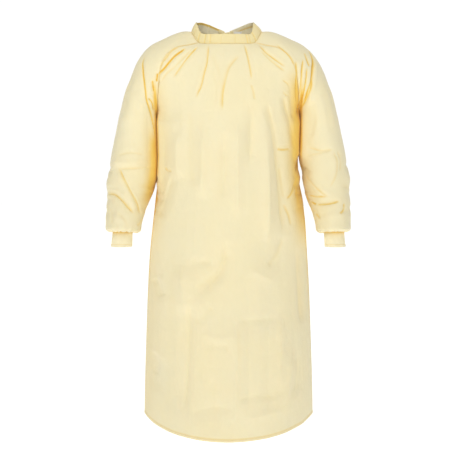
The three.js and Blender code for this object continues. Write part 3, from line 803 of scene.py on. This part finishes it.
def crumple(points):
    """Shallow unevenness all over: long soft waves and small crisp dents."""
    round_ = np.arctan2(points[..., 1], points[..., 0]) * 170
    z = points[..., 2]
    waves = 0.9 * noise(round_ / 34, z / 190) + 0.45 * noise(round_ / 17 + 9, z / 95)
    dents = 0.55 * (np.abs(noise(round_ / 26 + 4, z / 30 + 2)) - 0.4)
    small = 0.25 * (np.abs(noise(round_ / 11 + 7, z / 13 + 5)) - 0.4)
    return waves + dents + small


def seam_field(distance, along, seed):
    """The groove beside a seam, with small puckers that cross it. Both sides of a seam agree."""
    groove = SEAM_DEPTH * np.exp(-((distance / SEAM_HALF_WIDTH) ** 2))
    pucker = 0.75 * noise(along / 7.5 + seed, seed) * np.exp(-((distance / 11) ** 2))
    return groove + pucker


# Meshes


def shell_object(name, outer, inner, material, inside, painted_shade=None, closed=False, coarser=1, turned_in=None):
    """A closed thin shell. The inside grid may be coarser than the outside one."""
    rows, columns = outer.shape[:2]
    layer = rows * columns
    index = np.arange(layer).reshape(rows, columns)
    inner_index = layer + np.arange(inner.shape[0] * inner.shape[1]).reshape(inner.shape[:2])
    if closed:
        index = np.concatenate([index, index[:, :1]], axis=1)
        inner_index = np.concatenate([inner_index, inner_index[:, :1]], axis=1)
    faces = [face for grid, turned in ((index, False), (inner_index, True)) for face in quads(grid, turned)]
    rims = [(index[0], inner_index[0], False), (index[-1], inner_index[-1], True)]
    if not closed:
        rims += [(index[:, 0], inner_index[:, 0], True), (index[:, -1], inner_index[:, -1], False)]
    for fine, coarse, turned in rims:
        for k in range(len(coarse) - 1):
            face = [*fine[k * coarser : (k + 1) * coarser + 1], coarse[k + 1], coarse[k]]
            faces.append(face[::-1] if turned else face)
    mesh = bpy.data.meshes.new(name)
    points = np.concatenate([outer.reshape(-1, 3), inner.reshape(-1, 3)]) * MM
    mesh.vertices.add(len(points))
    mesh.vertices.foreach_set("co", points.astype(np.float32).ravel())
    corners = np.concatenate([np.asarray(face, np.int32) for face in faces])
    starts = np.concatenate([[0], np.cumsum([len(face) for face in faces])[:-1]]).astype(np.int32)
    mesh.loops.add(len(corners))
    mesh.loops.foreach_set("vertex_index", corners)
    mesh.polygons.add(len(faces))
    mesh.polygons.foreach_set("loop_start", starts)
    mesh.polygons.foreach_set("use_smooth", np.ones(len(faces), bool))
    mesh.update(calc_edges=True)
    mesh.validate()
    painted_shade = np.zeros((rows, columns)) if painted_shade is None else painted_shade
    turned_in = np.zeros((rows, columns)) if turned_in is None else turned_in
    inner_painted_shade = painted_shade[::coarser, ::coarser]
    # The inner layer gets half the painted shade, and the given share of the inside's painted light.
    values = {
        "painted_shade": np.concatenate([painted_shade.ravel(), 0.5 * inner_painted_shade.ravel()]),
        "inside": np.concatenate([turned_in.ravel(), np.full(inner_painted_shade.size, inside)]),
    }
    for key, data in values.items():
        attribute = mesh.attributes.new(key, "FLOAT", "POINT")
        attribute.data.foreach_set("value", data.astype(np.float32))
    uv = np.stack([distance_along(outer, 1), -distance_along(outer, 0)], axis=-1) * MM
    uv = np.concatenate([uv.reshape(-1, 2), uv[::coarser, ::coarser].reshape(-1, 2)])
    layer_uv = mesh.uv_layers.new(name="cloth")
    layer_uv.data.foreach_set("uv", uv[corners].astype(np.float32).ravel())
    return finish_object(name, mesh, material)


def quads(grid, turned):
    """The faces between the points of a grid of indices."""
    faces = np.stack([grid[:-1, :-1], grid[1:, :-1], grid[1:, 1:], grid[:-1, 1:]], axis=-1).reshape(-1, 4)
    return faces[:, ::-1] if turned else faces


def finish_object(name, mesh, material):
    """Puts a mesh into the scene."""
    ob = bpy.data.objects.new(name, mesh)
    bpy.context.scene.collection.objects.link(ob)
    mesh.materials.append(material)
    return ob


def mesh_object(name, points, faces, material):
    """An object from points in millimetres and faces of any size."""
    mesh = bpy.data.meshes.new(name)
    mesh.from_pydata([tuple(p * MM) for p in points], [], faces)
    mesh.polygons.foreach_set("use_smooth", np.ones(len(mesh.polygons), bool))
    mesh.update()
    return finish_object(name, mesh, material)


# Materials


class Nodes:
    """A short way to build a material's nodes."""

    def __init__(self, name):
        self.material = bpy.data.materials.new(name)
        self.material.use_nodes = True
        self.tree = self.material.node_tree
        self.shader = self.tree.nodes["Principled BSDF"]
        self.tree.nodes.remove(self.tree.nodes["Material Output"])
        self.output = self.tree.nodes.new("ShaderNodeOutputMaterial")
        self.link(self.shader.outputs[0], self.output.inputs[0])

    def link(self, a, b):
        self.tree.links.new(a, b)

    def node(self, kind, **settings):
        made = self.tree.nodes.new("ShaderNode" + kind)
        for key, value in settings.items():
            setattr(made, key, value)
        return made

    def value(self, node, name, value):
        socket = node.inputs[name]
        if hasattr(value, "links"):
            self.link(value, socket)
        else:
            socket.default_value = value
        return node

    def settings(self, node, values):
        """Numbers and colours that are the same all over the surface."""
        for name, value in values.items():
            node.inputs[name].default_value = value
        return node

    def mix(self, share, a, b):
        made = self.node("Mix", data_type="RGBA")
        for name, value in ((0, share), (6, a), (7, b)):
            if isinstance(value, tuple):
                value = (*value, 1)
            self.value(made, name, value)
        return made.outputs[2]

    def math(self, operation, a, b=0.0):
        made = self.node("Math", operation=operation)
        self.value(made, 0, a)
        self.value(made, 1, b)
        return made.outputs[0]

    def attribute(self, name):
        return self.node("Attribute", attribute_name=name).outputs["Fac"]

    def with_painted_shade(self, colour):
        """Painted shade: turns the colour gold and then amber where the cloth is marked as shaded."""
        painted_shade = self.attribute("painted_shade")
        gold = self.mix(self.ramp(painted_shade, 0.0, 0.5), colour, PAINTED_SHADE_GOLD)
        return self.mix(self.ramp(painted_shade, 0.5, 1.0), gold, PAINTED_SHADE_AMBER)

    def noise(self, vector, scale, detail=3, roughness=0.55):
        made = self.node("TexNoise")
        self.settings(made, {"Scale": scale, "Detail": detail, "Roughness": roughness})
        self.link(vector, made.inputs["Vector"])
        return made.outputs["Fac"]

    def ramp(self, value, low, high):
        made = self.node("MapRange", clamp=True)
        self.value(made, "Value", value)
        self.value(made, "From Min", low)
        self.value(made, "From Max", high)
        return made.outputs["Result"]

    def stretched(self, vector, scale):
        made = self.settings(self.node("Mapping"), {"Scale": scale})
        self.link(vector, made.inputs["Vector"])
        return made.outputs["Vector"]

    def bump(self, height, strength, distance, below=None):
        made = self.settings(self.node("Bump"), {"Strength": strength, "Distance": distance})
        self.link(height, made.inputs["Height"])
        if below is not None:
            self.link(below, made.inputs["Normal"])
        return made.outputs["Normal"]


def cloth_material(name, base, greyer):
    """Non-woven cloth: cloudy fibres, pressed dots, painted warm shade in its folds and painted light, a
    paler cream, on its inside.
    """
    n = Nodes(name)
    place = n.node("TexCoord").outputs["Object"]
    flat = n.node("TexCoord").outputs["UV"]
    cloudy = n.noise(place, 38, 5, 0.6)
    drift = n.noise(place, 5.5, 2)
    colour = n.mix(n.ramp(drift, 0.35, 0.7), base, greyer)
    colour = n.mix(n.math("MULTIPLY", n.ramp(cloudy, 0.35, 0.75), 0.1), colour, tuple(0.82 * c for c in base))
    # Painted light: the cloth's inside is paler, as if lit through the cloth.
    colour = n.mix(n.attribute("inside"), colour, INSIDE_PAINTED_LIGHT)
    colour = n.with_painted_shade(colour)
    n.value(n.shader, "Base Color", colour)
    rough = n.settings(n.node("MapRange"), {"To Min": 0.76, "To Max": 0.9})
    n.value(rough, "Value", cloudy)
    n.value(n.shader, "Roughness", rough.outputs["Result"])
    fibres = n.noise(n.stretched(flat, (1, 0.55, 1)), 900, 3, 0.6)
    wrinkles = n.noise(place, 70, 4, 0.55)
    normal = n.bump(wrinkles, 0.35, 0.0016)
    normal = n.bump(fibres, 0.22, 0.0003, normal)
    pressed = n.settings(n.node("TexVoronoi", distance="CHEBYCHEV"), {"Scale": 620, "Randomness": 0.15})
    n.link(flat, pressed.inputs["Vector"])
    normal = n.bump(n.ramp(pressed.outputs["Distance"], 0.15, 0.45), 0.16, 0.0002, normal)
    n.value(n.shader, "Normal", normal)
    n.settings(n.shader, {"Sheen Weight": 0.25, "Sheen Roughness": 0.5, "Specular IOR Level": 0.25})
    n.settings(n.shader, {"Subsurface Weight": SOFT_GLOW, "Subsurface Scale": 0.003})
    n.settings(n.shader, {"Subsurface Radius": (1.0, 0.8, 0.5)})
    return n.material


def rib_material():
    """Fine rib knit."""
    n = Nodes("rib_knit")
    place = n.node("TexCoord").outputs["Object"]
    flat = n.node("TexCoord").outputs["UV"]
    loops = n.node("TexWave", wave_type="BANDS", bands_direction="Y")
    n.settings(loops, {"Scale": 240, "Distortion": 1.5})
    n.link(flat, loops.inputs["Vector"])
    cloudy = n.noise(place, 60, 4)
    colour = n.mix(n.ramp(cloudy, 0.3, 0.75), RIB_CREAM, tuple(0.93 * c for c in RIB_CREAM))
    # Painted warm shade, then painted light on the inside.
    colour = n.mix(n.attribute("inside"), n.with_painted_shade(colour), INSIDE_PAINTED_LIGHT)
    n.value(n.shader, "Base Color", colour)
    n.value(n.shader, "Normal", n.bump(loops.outputs["Fac"], 0.25, 0.0004))
    n.settings(n.shader, {"Roughness": 0.9, "Sheen Weight": 0.3, "Sheen Roughness": 0.5})
    n.settings(n.shader, {"Specular IOR Level": 0.2})
    return n.material


def plain_material(name, colour, roughness, bump_scale=0):
    """An even finish with a slight grain."""
    n = Nodes(name)
    place = n.node("TexCoord").outputs["Object"]
    grain = n.noise(place, bump_scale or 400, 3)
    shade = n.mix(n.ramp(grain, 0.3, 0.7), colour, tuple(0.92 * c for c in colour))
    n.value(n.shader, "Base Color", shade)
    if bump_scale:
        n.value(n.shader, "Normal", n.bump(grain, 0.3, 0.0003))
    n.settings(n.shader, {"Roughness": roughness, "Specular IOR Level": 0.25})
    return n.material


CLOTH = cloth_material("nonwoven_cloth", CREAM, CREAM_GREY)
BAND = cloth_material("neckband_cloth", BAND_CREAM, tuple(0.95 * c for c in BAND_CREAM))
RIB = rib_material()
TAPE = plain_material("label_tape", WHITE, 0.6, 900)
THREAD = plain_material("thread", (0.78, 0.62, 0.32), 0.75, 1500)

# Panels


def gathers(places, shares):
    """Small uneven pleats where the sleeve is gathered onto its cuff."""
    close = smoothstep(places, 15.6, 18.2)[:, None]
    waves = np.sin(2 * math.pi * (13 * shares + 1.2 * noise(shares * 5, 2)))[None, :]
    finer = np.sin(2 * math.pi * (29 * shares + 0.8 * noise(shares * 9, 6)))[None, :]
    uneven = (0.75 + 0.6 * noise(shares * 8, 4))[None, :]
    return close * uneven * (0.9 * waves + 0.5 * finer)


def surface_depth(name, grid, normals):
    """How far each point of a panel sinks, and how much painted warm shade it gets."""
    depth, painted_shade = fold_field(grid, normals)
    depth = depth + facet_field(grid, normals) - crumple(grid)
    painted_shade = np.maximum(painted_shade, painted_side_shade(name, grid))
    round_ = distance_along(grid, 1)
    width = round_[:, -1:]
    facing_apart = smoothstep(-grid[..., 2], 130, 185)
    down = distance_along(grid, 0)
    from_foot = down[-1:] - down
    at_start, at_end = SEAMS.get(name, (True, True))
    for there, distance, free in ((at_start, round_, not at_start), (at_end, width - round_, not at_end)):
        if there:
            depth = depth * smoothstep(distance, 0, SEAM_QUIET)
            groove = seam_field(distance, grid[..., 2], np.sign(grid[..., 0]))
            depth = depth + groove * (1 - facing_apart)
            # Painted shade along the seam's groove.
            painted_shade = np.maximum(painted_shade, 0.3 * np.exp(-((distance / 2.2) ** 2)))
        elif free:
            depth = depth - 0.5 * (1 - smoothstep(distance, HEM_TURN - 1, HEM_TURN + 1))
            # Painted shade at the turned edge.
            painted_shade = np.maximum(painted_shade, 0.1 * (1 - smoothstep(distance, HEM_TURN - 1, HEM_TURN + 1)))
    middle = contact(grid[..., 2])[2]
    touching = beside_body(grid[..., 0], grid[..., 2]) * np.exp(-(((np.abs(grid[..., 0]) - middle) / 9) ** 2))
    depth = depth * (1 - touching)
    quiet = smoothstep(down, 0, 14)
    depth = depth * quiet
    # Painted shade just below the neckband.
    painted_shade = np.maximum(painted_shade * quiet, 0.2 * np.exp(-((down / 3) ** 2)))
    if name.startswith("sleeve"):
        shares = np.linspace(0, 1, grid.shape[1])
        depth = depth * smoothstep(from_foot, 0, 30)
        depth = depth - gathers(sleeve_places, shares)
        # Painted shade where the sleeve's end hangs over the cuff.
        painted_shade = np.maximum(painted_shade, 0.5 * np.exp(-((from_foot / 9) ** 2)))
    else:
        turn = 1 - smoothstep(from_foot, HEM_TURN - 1.5, HEM_TURN + 1)
        depth = depth - 0.7 * turn
        depth = depth + 0.6 * np.exp(-(((from_foot - HEM_TURN) / 2) ** 2))
        # Painted shade in the hem's turn and along its fold.
        painted_shade = np.maximum(painted_shade, 0.06 * turn)
        painted_shade = np.maximum(painted_shade, 0.2 * np.exp(-(((from_foot - HEM_TURN) / 1.6) ** 2)))
    return depth, painted_shade


def inner_grid(grid, normals, depth, walls):
    """The coarser inside of a panel, deeper than the deepest fold near each of its points."""
    deepest = depth
    for axis in (0, 1):
        for _ in range(COARSER + 1):
            before = np.concatenate([np.take(deepest, [0], axis), np.delete(deepest, -1, axis)], axis)
            after = np.concatenate([np.delete(deepest, 0, axis), np.take(deepest, [-1], axis)], axis)
            deepest = np.maximum(deepest, np.maximum(before, after))
    inner = grid - (deepest + walls)[..., None] * normals
    return inner[::COARSER, ::COARSER]


grids = panel_grids()
# Whether a panel's first and last columns are sewn. All others are sewn at both.
SEAMS = {"back_left": (True, False), "back_right": (False, True)}
pieces = {}
panels = {}


def make_panels():
    """The five panels, their walls thicker where a seam tucks them in."""
    for name, grid in grids.items():
        normals = normals_of(grid)
        depth, painted_shade = surface_depth(name, grid, normals)
        points = grid - depth[..., None] * normals
        panels[name] = (points, normals_of(points))
        round_ = distance_along(grid, 1)
        walls = np.full(depth.shape, CLOTH_WALL)
        at_start, at_end = SEAMS.get(name, (True, True))
        for there, distance in ((at_start, round_), (at_end, round_[:, -1:] - round_)):
            walls += there * SEAM_TUCK * (1 - smoothstep(distance, 3, 8))
        inner = inner_grid(grid, normals, depth, walls)
        pieces[name] = shell_object(name, points, inner, CLOTH, 1.0, painted_shade, coarser=COARSER)


# Neckband


def band_line(share):
    """A line round the band at a share of its height, on its middle surface."""
    out = from_neck(EDGE)
    sideways = np.abs(EDGE[:, 0] - NECK_OFFSET) / SLEEVE["outX"][0]
    lean_side = np.where(EDGE[:, 0] > NECK_OFFSET, BAND_LEAN_LEFT, BAND_LEAN_RIGHT)
    lean = BAND_LEAN_FRONT + (lean_side - BAND_LEAN_FRONT) * sideways**3
    line = EDGE - out * (lean * max(share, 0) ** 1.5)[:, None]
    line[:, 2] += 0.5 + (BAND_HEIGHT - 0.5) * share
    return line


# Upright creases of the band in its outer face: X, Y side (-1 front), depth and painted shade
BAND_CREASES = [
    (-84, -1, 1.3, 0.35),
    (-66, -1, 1.0, 0.3),
    (-50, -1, 0.8, 0.25),
    (-96, -1, 0.8, 0.15),
    (54, -1, 1.0, 0.3),
    (61, -1, 0.8, 0.25),
    (76, -1, 1.3, 0.35),
    (90, -1, 1.1, 0.3),
    (20, -1, 0.6, 0.1),
    (-20, -1, 0.6, 0.08),
    (84, 1, 1.1, 0.3),
    (52, 1, 0.9, 0.25),
    (-60, 1, 1.1, 0.3),
    (-92, 1, 0.9, 0.2),
]
CREASE_WIDTH = 3


def band_creases():
    """How far the band sinks in its creases and waves, and the painted shade in its creases."""
    along = distance_along(EDGE[None], 1)[0]
    depth = 0.9 * noise(along / 24, 3) + 0.45 * noise(along / 9, 8)
    painted_crease_shade = np.zeros(len(EDGE))
    for x, facing, sink, painted_shade_amount in BAND_CREASES:
        same = facing * (EDGE[:, 1] - NECK_MIDDLE_Y) > 0
        i = np.argmin(np.where(same, np.abs(EDGE[:, 0] - x), 1000))
        t = (along - along[i]) / CREASE_WIDTH
        depth += sink * np.exp(-(t**2)) - 0.5 * sink * np.exp(-((np.abs(t) - 1.8) ** 2))
        painted_crease_shade = np.maximum(painted_crease_shade, painted_shade_amount * np.exp(-((t / 0.6) ** 2)))
    return depth, painted_crease_shade


def make_neckband():
    """One strip folded over at the top, with its outer foot over the panels' edges."""
    profile = [(s, 1) for s in np.linspace(-0.12, 0.96, 11)]
    profile += [(0.985, 0.7), (1.0, 0), (0.985, -0.7)]
    profile += [(s, -1) for s in np.linspace(0.96, -0.05, 9)]
    out = from_neck(EDGE)
    along = distance_along(EDGE[None], 1)[0]
    sink, painted_crease_shade = band_creases()
    half_gap = 0.5 * (BAND_SPACE + BAND_LAYER)
    rows = []
    painted_shade = []
    for share, side in profile:
        line = band_line(share)
        wave = -sink * (0.4 + 0.6 * smoothstep(np.array(share), 0, 0.5))
        line = line + out * (side * half_gap - BAND_SET_IN + wave)[:, None]
        line[:, 2] += 0.7 * noise(along / 30, 5) * max(share, 0)
        rows.append(line)
        # Painted shade at the band's foot, in strips on its turned-in face at the back, and in its creases.
        foot = 0.22 * np.exp(-(((share + 0.05) / 0.07) ** 2)) if side > 0 else 0
        shade = 0.0
        if side < 1:
            right = smoothstep(-EDGE[:, 0], 4, 40)
            left = smoothstep(EDGE[:, 0], 14, 40)
            shade = 0.8 * right * np.exp(-(((share - 0.9) / 0.1) ** 2))
            shade = shade + 0.6 * left * np.exp(-(((share - 0.62) / 0.07) ** 2))
            shade = shade * (EDGE[:, 1] > NECK_MIDDLE_Y)
        painted_shade.append(np.maximum(np.maximum(foot, shade), (side > 0) * painted_crease_shade))
    points = np.array(rows)
    normals = normals_of(points)
    outer = points + 0.5 * BAND_LAYER * normals
    inner = points - 0.5 * BAND_LAYER * normals
    # The turned-in face gets the inside's painted light.
    turned_in = np.array([np.full(len(EDGE), float(side < 0)) for _, side in profile])
    painted_shade = np.array(painted_shade)
    pieces["neckband"] = shell_object("neckband", outer, inner, BAND, 0.3, painted_shade, turned_in=turned_in)


# Cuffs

RIBS = 60
RIB_HEIGHT = 0.42
CUFF_COLUMNS = 360
CUFF_ROWS = 40


def make_cuff(name, side):
    """A tube of ribs, with a turned edge at its foot. side is 1 for the left."""
    row = row_at(CUFF, np.linspace(0, len(CUFF["x"]) - 1, CUFF_ROWS))
    angle = np.linspace(0, 2 * math.pi, CUFF_COLUMNS, endpoint=False)[None, :] * side
    share = np.linspace(0, 1, CUFF_ROWS)[:, None]
    rib = RIB_HEIGHT * np.cos(RIBS * angle)
    turn = 0.5 * smoothstep(share, 0.8, 0.84) - 0.5 * np.exp(-(((share - 0.82) / 0.015) ** 2))
    give = 0.5 * noise(angle * 1.9 + 3 * side, share * 3)
    grow = rib * (1 - 0.5 * smoothstep(share, 0.97, 1)) + turn + give
    half_width = row["halfWidth"][:, None] + grow
    half_depth = row["halfDepth"][:, None] + grow
    outer = vectors(
        side * (row["x"][:, None] + half_width * np.cos(angle)),
        row["y"][:, None] + half_depth * np.sin(angle),
        row["z"][:, None] + 0 * angle,
    )
    normals = normals_of(outer, closed=True)
    inner = outer - RIB_WALL * normals
    # Painted shade at the cuff's top, under the sleeve's gathered end, and along its turned edge.
    painted_shade = 0.75 * np.exp(-((share / 0.2) ** 2)) + 0.2 * np.exp(-(((share - 0.82) / 0.02) ** 2)) + 0 * angle
    pieces[name] = shell_object(name, outer, inner, RIB, 0.4, painted_shade, closed=True)


# Ties and label

LABEL_X = 27
LABEL_WIDTH = 22
LABEL_HEIGHT = 29
LABEL_WALL = 0.5
LABEL_BULGE = 1.2
LABEL_FROM_BAND = 3.6


# Side of the neck, how far round the band it is sewn, and the points it hangs over
TIE_ENDS = {
    "tie_left": (1, 19, [
        (-6, 73, 7), (-17, 70, -1), (-25, 69, -12), (-30, 69, -28),
        (-32, 70, -54), (-31, 71, -87), (-30, 72, -120),
    ]),
    "tie_right": (-1, 27, [
        (-10.5, 76.8, 7.5), (-4.5, 81.5, 4), (3, 88.5, -2), (8, 94.5, -12), (9, 100.5, -28),
        (10, 108.5, -47), (11, 116, -70), (11, 123, -96), (12, 129, -126), (12, 133.5, -160),
    ]),
}


def make_tie(name):
    """A flat tape sewn inside the band's end, then led over the listed points."""
    side, sewn_to, ends = TIE_ENDS[name]
    from_middle = side * (EDGE[:, 0] - NECK_OFFSET)
    sewn = np.flatnonzero((EDGE[:, 1] > NECK_MIDDLE_Y) & (from_middle > 0) & (from_middle < sewn_to))
    sewn = sewn[::-1] if side > 0 else sewn
    sewn = sewn[::3]
    share = 1 - (TIE_DROP + TIE_WIDTH / 2) / BAND_HEIGHT
    line = band_line(share)
    held = (line - from_neck(EDGE) * TIE_IN)[sewn]
    path = np.concatenate([held, np.array(ends, float)])
    columns = {k: path[:, i] for i, k in enumerate("xyz")}
    fine = row_at(columns, np.linspace(0, len(path) - 1, TIE_POINTS))
    centre = vectors(fine["x"], fine["y"], fine["z"])
    out = from_neck(centre)
    tangent = unit(np.gradient(centre, axis=0))
    across = unit(np.cross(tangent, out))
    share = np.linspace(0, 1, TIE_POINTS)
    twist = 0.35 * noise(5 * share, 3 * side) * smoothstep(share, 0.2, 0.5)
    face = unit(out * np.cos(twist)[:, None] + across * np.sin(twist)[:, None])
    across = unit(np.cross(tangent, face))
    spread = np.linspace(-0.5, 0.5, 7)
    curl = 0.5 * (4 * spread**2 - 0.5)
    outer = centre[:, None] + across[:, None] * (spread * TIE_WIDTH)[None, :, None]
    outer = outer + face[:, None] * curl[None, :, None]
    normals = np.broadcast_to(face[:, None], outer.shape)
    inner = outer - TIE_WALL * normals
    if np.sum(normals_of(outer) * normals) < 0:
        outer, inner = outer[:, ::-1], inner[:, ::-1]
    # Painted shade along the tape's curled edges.
    painted_shade = np.zeros(outer.shape[:2]) + 0.12 * np.abs(spread * 2)[None, :] ** 4
    pieces[name] = shell_object(name, outer, inner, BAND, 0.1, painted_shade)


def make_label():
    """A bare tape hanging inside the back of the band."""
    line = band_line(0.55)
    columns = LABEL_X + LABEL_WIDTH * np.linspace(0.5, -0.5, 14)
    back = line[(line[:, 1] > 40) & (line[:, 0] > 5)]
    back = back[np.argsort(back[:, 0])]
    share = np.linspace(0, 1, 18)[:, None]
    y = np.interp(columns, back[:, 0], back[:, 1])[None, :] - LABEL_FROM_BAND
    bulge = LABEL_BULGE * np.sin(math.pi * share) * np.sin(math.pi * np.linspace(0, 1, 14))[None, :]
    points = vectors(columns[None, :], y - bulge, LABEL_HEIGHT * (0.5 - share))
    normals = normals_of(points)
    inner = points - LABEL_WALL * normals
    pieces["label"] = shell_object("label", points, inner, TAPE, 0.0)


# Stitches

STITCH_LENGTH = 3.1
STITCH_GAP = 1.5
STITCH_RADIUS = 0.32
HEM_STITCH = HEM_TURN - 1.4
SEAM_STITCH = 2.6


def stitches_along(line, normals):
    """Stitches along a line of surface points, each a small closed prism."""
    along = np.concatenate([[0], np.cumsum(np.linalg.norm(np.diff(line, axis=0), axis=1))])
    starts = np.arange(1, along[-1] - STITCH_LENGTH, STITCH_LENGTH + STITCH_GAP)
    points = []
    faces = []

    def at(distance, values):
        return np.array([np.interp(distance, along, values[:, k]) for k in range(3)])

    for start in starts:
        a = at(start, line)
        b = at(start + STITCH_LENGTH, line)
        up = unit(at(start + STITCH_LENGTH / 2, normals))
        forward = unit(b - a)
        sideways = np.cross(up, forward)
        base = len(points)
        for t, size, rise in ((0, 0.45, -0.25), (0.25, 1, 0.12), (0.75, 1, 0.12), (1, 0.45, -0.25)):
            centre = a + (b - a) * t + up * rise
            for k in range(5):
                turn = 2 * math.pi * k / 5
                round_ = math.cos(turn) * sideways + math.sin(turn) * up
                points.append(centre + STITCH_RADIUS * size * round_)
        for ring in range(3):
            for k in range(5):
                p = base + 5 * ring + k
                q = base + 5 * ring + (k + 1) % 5
                faces.append((p, q, q + 5, p + 5))
        faces.append(tuple(base + k for k in range(4, -1, -1)))
        faces.append(tuple(base + 15 + k for k in range(5)))
    return points, faces


def make_stitches(name, lines):
    """One piece with the stitches of several lines."""
    points = []
    faces = []
    for line, normals in lines:
        more, more_faces = stitches_along(line, normals)
        faces += [tuple(i + len(points) for i in face) for face in more_faces]
        points += more
    pieces[name] = mesh_object(name, np.array(points), faces, THREAD)


def line_at(surfaces, distance, axis, from_end):
    """The points and normals of a panel at a distance from its first or last row (0) or column (1)."""
    turned = [np.moveaxis(grid, axis, 1) for grid in surfaces]
    if from_end:
        turned = [grid[:, ::-1] for grid in turned]
    along = distance_along(turned[0], 1)

    def crossing(grid):
        return [[np.interp(distance, a, row[:, k]) for k in range(3)] for a, row in zip(along, grid)]

    return [np.array(crossing(grid)) for grid in turned]


def make_all_stitches():
    """Stitches at the hem, the raglan seams, the back's free edges and the neckband's foot."""
    hem = [line_at(panels[name], HEM_STITCH, 0, True) for name in ("front", "back_left", "back_right")]
    make_stitches("stitches_hem", hem)
    seams = []
    for name in ("sleeve_left", "sleeve_right", "front"):
        raglan = (torso_places if name == "front" else sleeve_places) <= UNDERARM
        for from_end in (False, True):
            line, normals = line_at(panels[name], SEAM_STITCH, 1, from_end)
            seams.append((line[raglan], normals[raglan]))
    make_stitches("stitches_raglan", seams)
    edges = [("back_left", True), ("back_right", False)]
    free = [line_at(panels[name], HEM_STITCH, 1, from_end) for name, from_end in edges]
    make_stitches("stitches_back_edges", free)
    out = from_neck(EDGE)
    make_stitches("stitches_band", [(band_line(-0.02) + out * 0.35, out)])


make_panels()
make_neckband()
make_cuff("cuff_left", 1)
make_cuff("cuff_right", -1)
for tie in TIE_ENDS:
    make_tie(tie)
make_label()
make_all_stitches()

# Slot, flat size in metres, area of the cut if it isn't the whole rectangle, hold and rests
CUTS = {
    "front": ("cloth", (0.80, 1.10), 0.66, "hung", ["neckband"]),
    "back_left": ("cloth", (0.46, 1.13), 0.40, "hung", ["front", "sleeve_left"]),
    "back_right": ("cloth", (0.46, 1.13), 0.40, "hung", ["front", "sleeve_right"]),
    "sleeve_left": ("cloth", (0.48, 0.66), 0.26, "hung", ["front", "back_left"]),
    "sleeve_right": ("cloth", (0.48, 0.66), 0.26, "hung", ["front", "back_right"]),
    "neckband": ("band", (0.56, 0.056), None, "stretched", list(panels)),
    "tie_left": ("band", (0.01, 0.18), None, "hung", ["neckband"]),
    "tie_right": ("band", (0.01, 0.24), None, "hung", ["neckband"]),
    "label": ("label", (0.022, 0.029), None, "hung", ["neckband"]),
    "cuff_left": ("rib", (0.16, 0.048), None, "stretched", ["sleeve_left"]),
    "cuff_right": ("rib", (0.16, 0.048), None, "stretched", ["sleeve_right"]),
}
for name, piece in pieces.items():
    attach(piece, BODY)
    if name in CUTS:
        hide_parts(name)

# Camera, at the photograph's distance and angle
EYE = Vector((11.6, -2334, -328)) * MM
AIM = Vector((11.6, 0, -567)) * MM
FIELD_OF_VIEW = 32.067
camera = bpy.data.objects.new("camera", bpy.data.cameras.new("camera"))
camera.data.sensor_fit = "HORIZONTAL"
camera.data.angle = math.radians(FIELD_OF_VIEW)
camera.location = EYE
camera.rotation_euler = (AIM - EYE).to_track_quat("-Z", "Y").to_euler()
bpy.context.scene.collection.objects.link(camera)
bpy.context.scene.camera = camera

# Studio
FLOOR_Z = -1.46
FLOOR_HALF = 14
KEY_PLACE = (-0.8, -1.7, 1.35)
KEY_POWER = 18
FILL_POWER = 9
TOP_POWER = 11
ROOM_LIGHT = 0.37
ROOM_TINT = (1, 0.96, 0.8)
BACKDROP = 1.02
FLOOR_GLOW = 0.9
floor_mesh = bpy.data.meshes.new("floor")
corners = [(x * FLOOR_HALF, y * FLOOR_HALF, FLOOR_Z) for x, y in ((-1, -1), (1, -1), (1, 1), (-1, 1))]
floor_mesh.from_pydata(corners, [], [(0, 1, 2, 3)])
floor = bpy.data.objects.new("floor", floor_mesh)
bpy.context.scene.collection.objects.link(floor)
floor_finish = plain_material("studio_floor", (0.75, 0.75, 0.75), 0.95)
floor_shader = floor_finish.node_tree.nodes["Principled BSDF"]
floor_shader.inputs["Emission Color"].default_value = (1, 1, 1, 1)
floor_shader.inputs["Emission Strength"].default_value = FLOOR_GLOW
floor_mesh.materials.append(floor_finish)

# The room lights the gown softly, and looks plain white behind it
world = bpy.data.worlds.new("studio")
world.use_nodes = True
tree = world.node_tree
room = tree.nodes["Background"]
in_view = tree.nodes.new("ShaderNodeLightPath").outputs["Is Camera Ray"]
strength = tree.nodes.new("ShaderNodeMapRange")
strength.inputs["To Min"].default_value = ROOM_LIGHT
strength.inputs["To Max"].default_value = BACKDROP
tint = tree.nodes.new("ShaderNodeMix")
tint.data_type = "RGBA"
tint.inputs[6].default_value = (*ROOM_TINT, 1)
tint.inputs[7].default_value = (1, 1, 1, 1)
tree.links.new(in_view, strength.inputs["Value"])
tree.links.new(in_view, tint.inputs[0])
tree.links.new(strength.outputs["Result"], room.inputs["Strength"])
tree.links.new(tint.outputs[2], room.inputs["Color"])
bpy.context.scene.world = world


def lamp(name, place, aim, size, power):
    """A square soft light, in metres and watts."""
    light = bpy.data.lights.new(name, "AREA")
    light.size = size
    light.energy = power
    ob = bpy.data.objects.new(name, light)
    ob.location = place
    ob.rotation_euler = (Vector(aim) - Vector(place)).to_track_quat("-Z", "Y").to_euler()
    bpy.context.scene.collection.objects.link(ob)


lamp("key", KEY_PLACE, (0, 0, -0.3), 1.0, KEY_POWER)
lamp("fill", (0.4, -2.5, 0.1), (0, 0, -0.45), 1.6, FILL_POWER)
lamp("top", (0.7, -0.3, 2.0), (0.1, 0, -0.1), 1.2, TOP_POWER)

bpy.context.scene.view_settings.view_transform = "Standard"
bpy.context.scene.view_settings.look = "None"
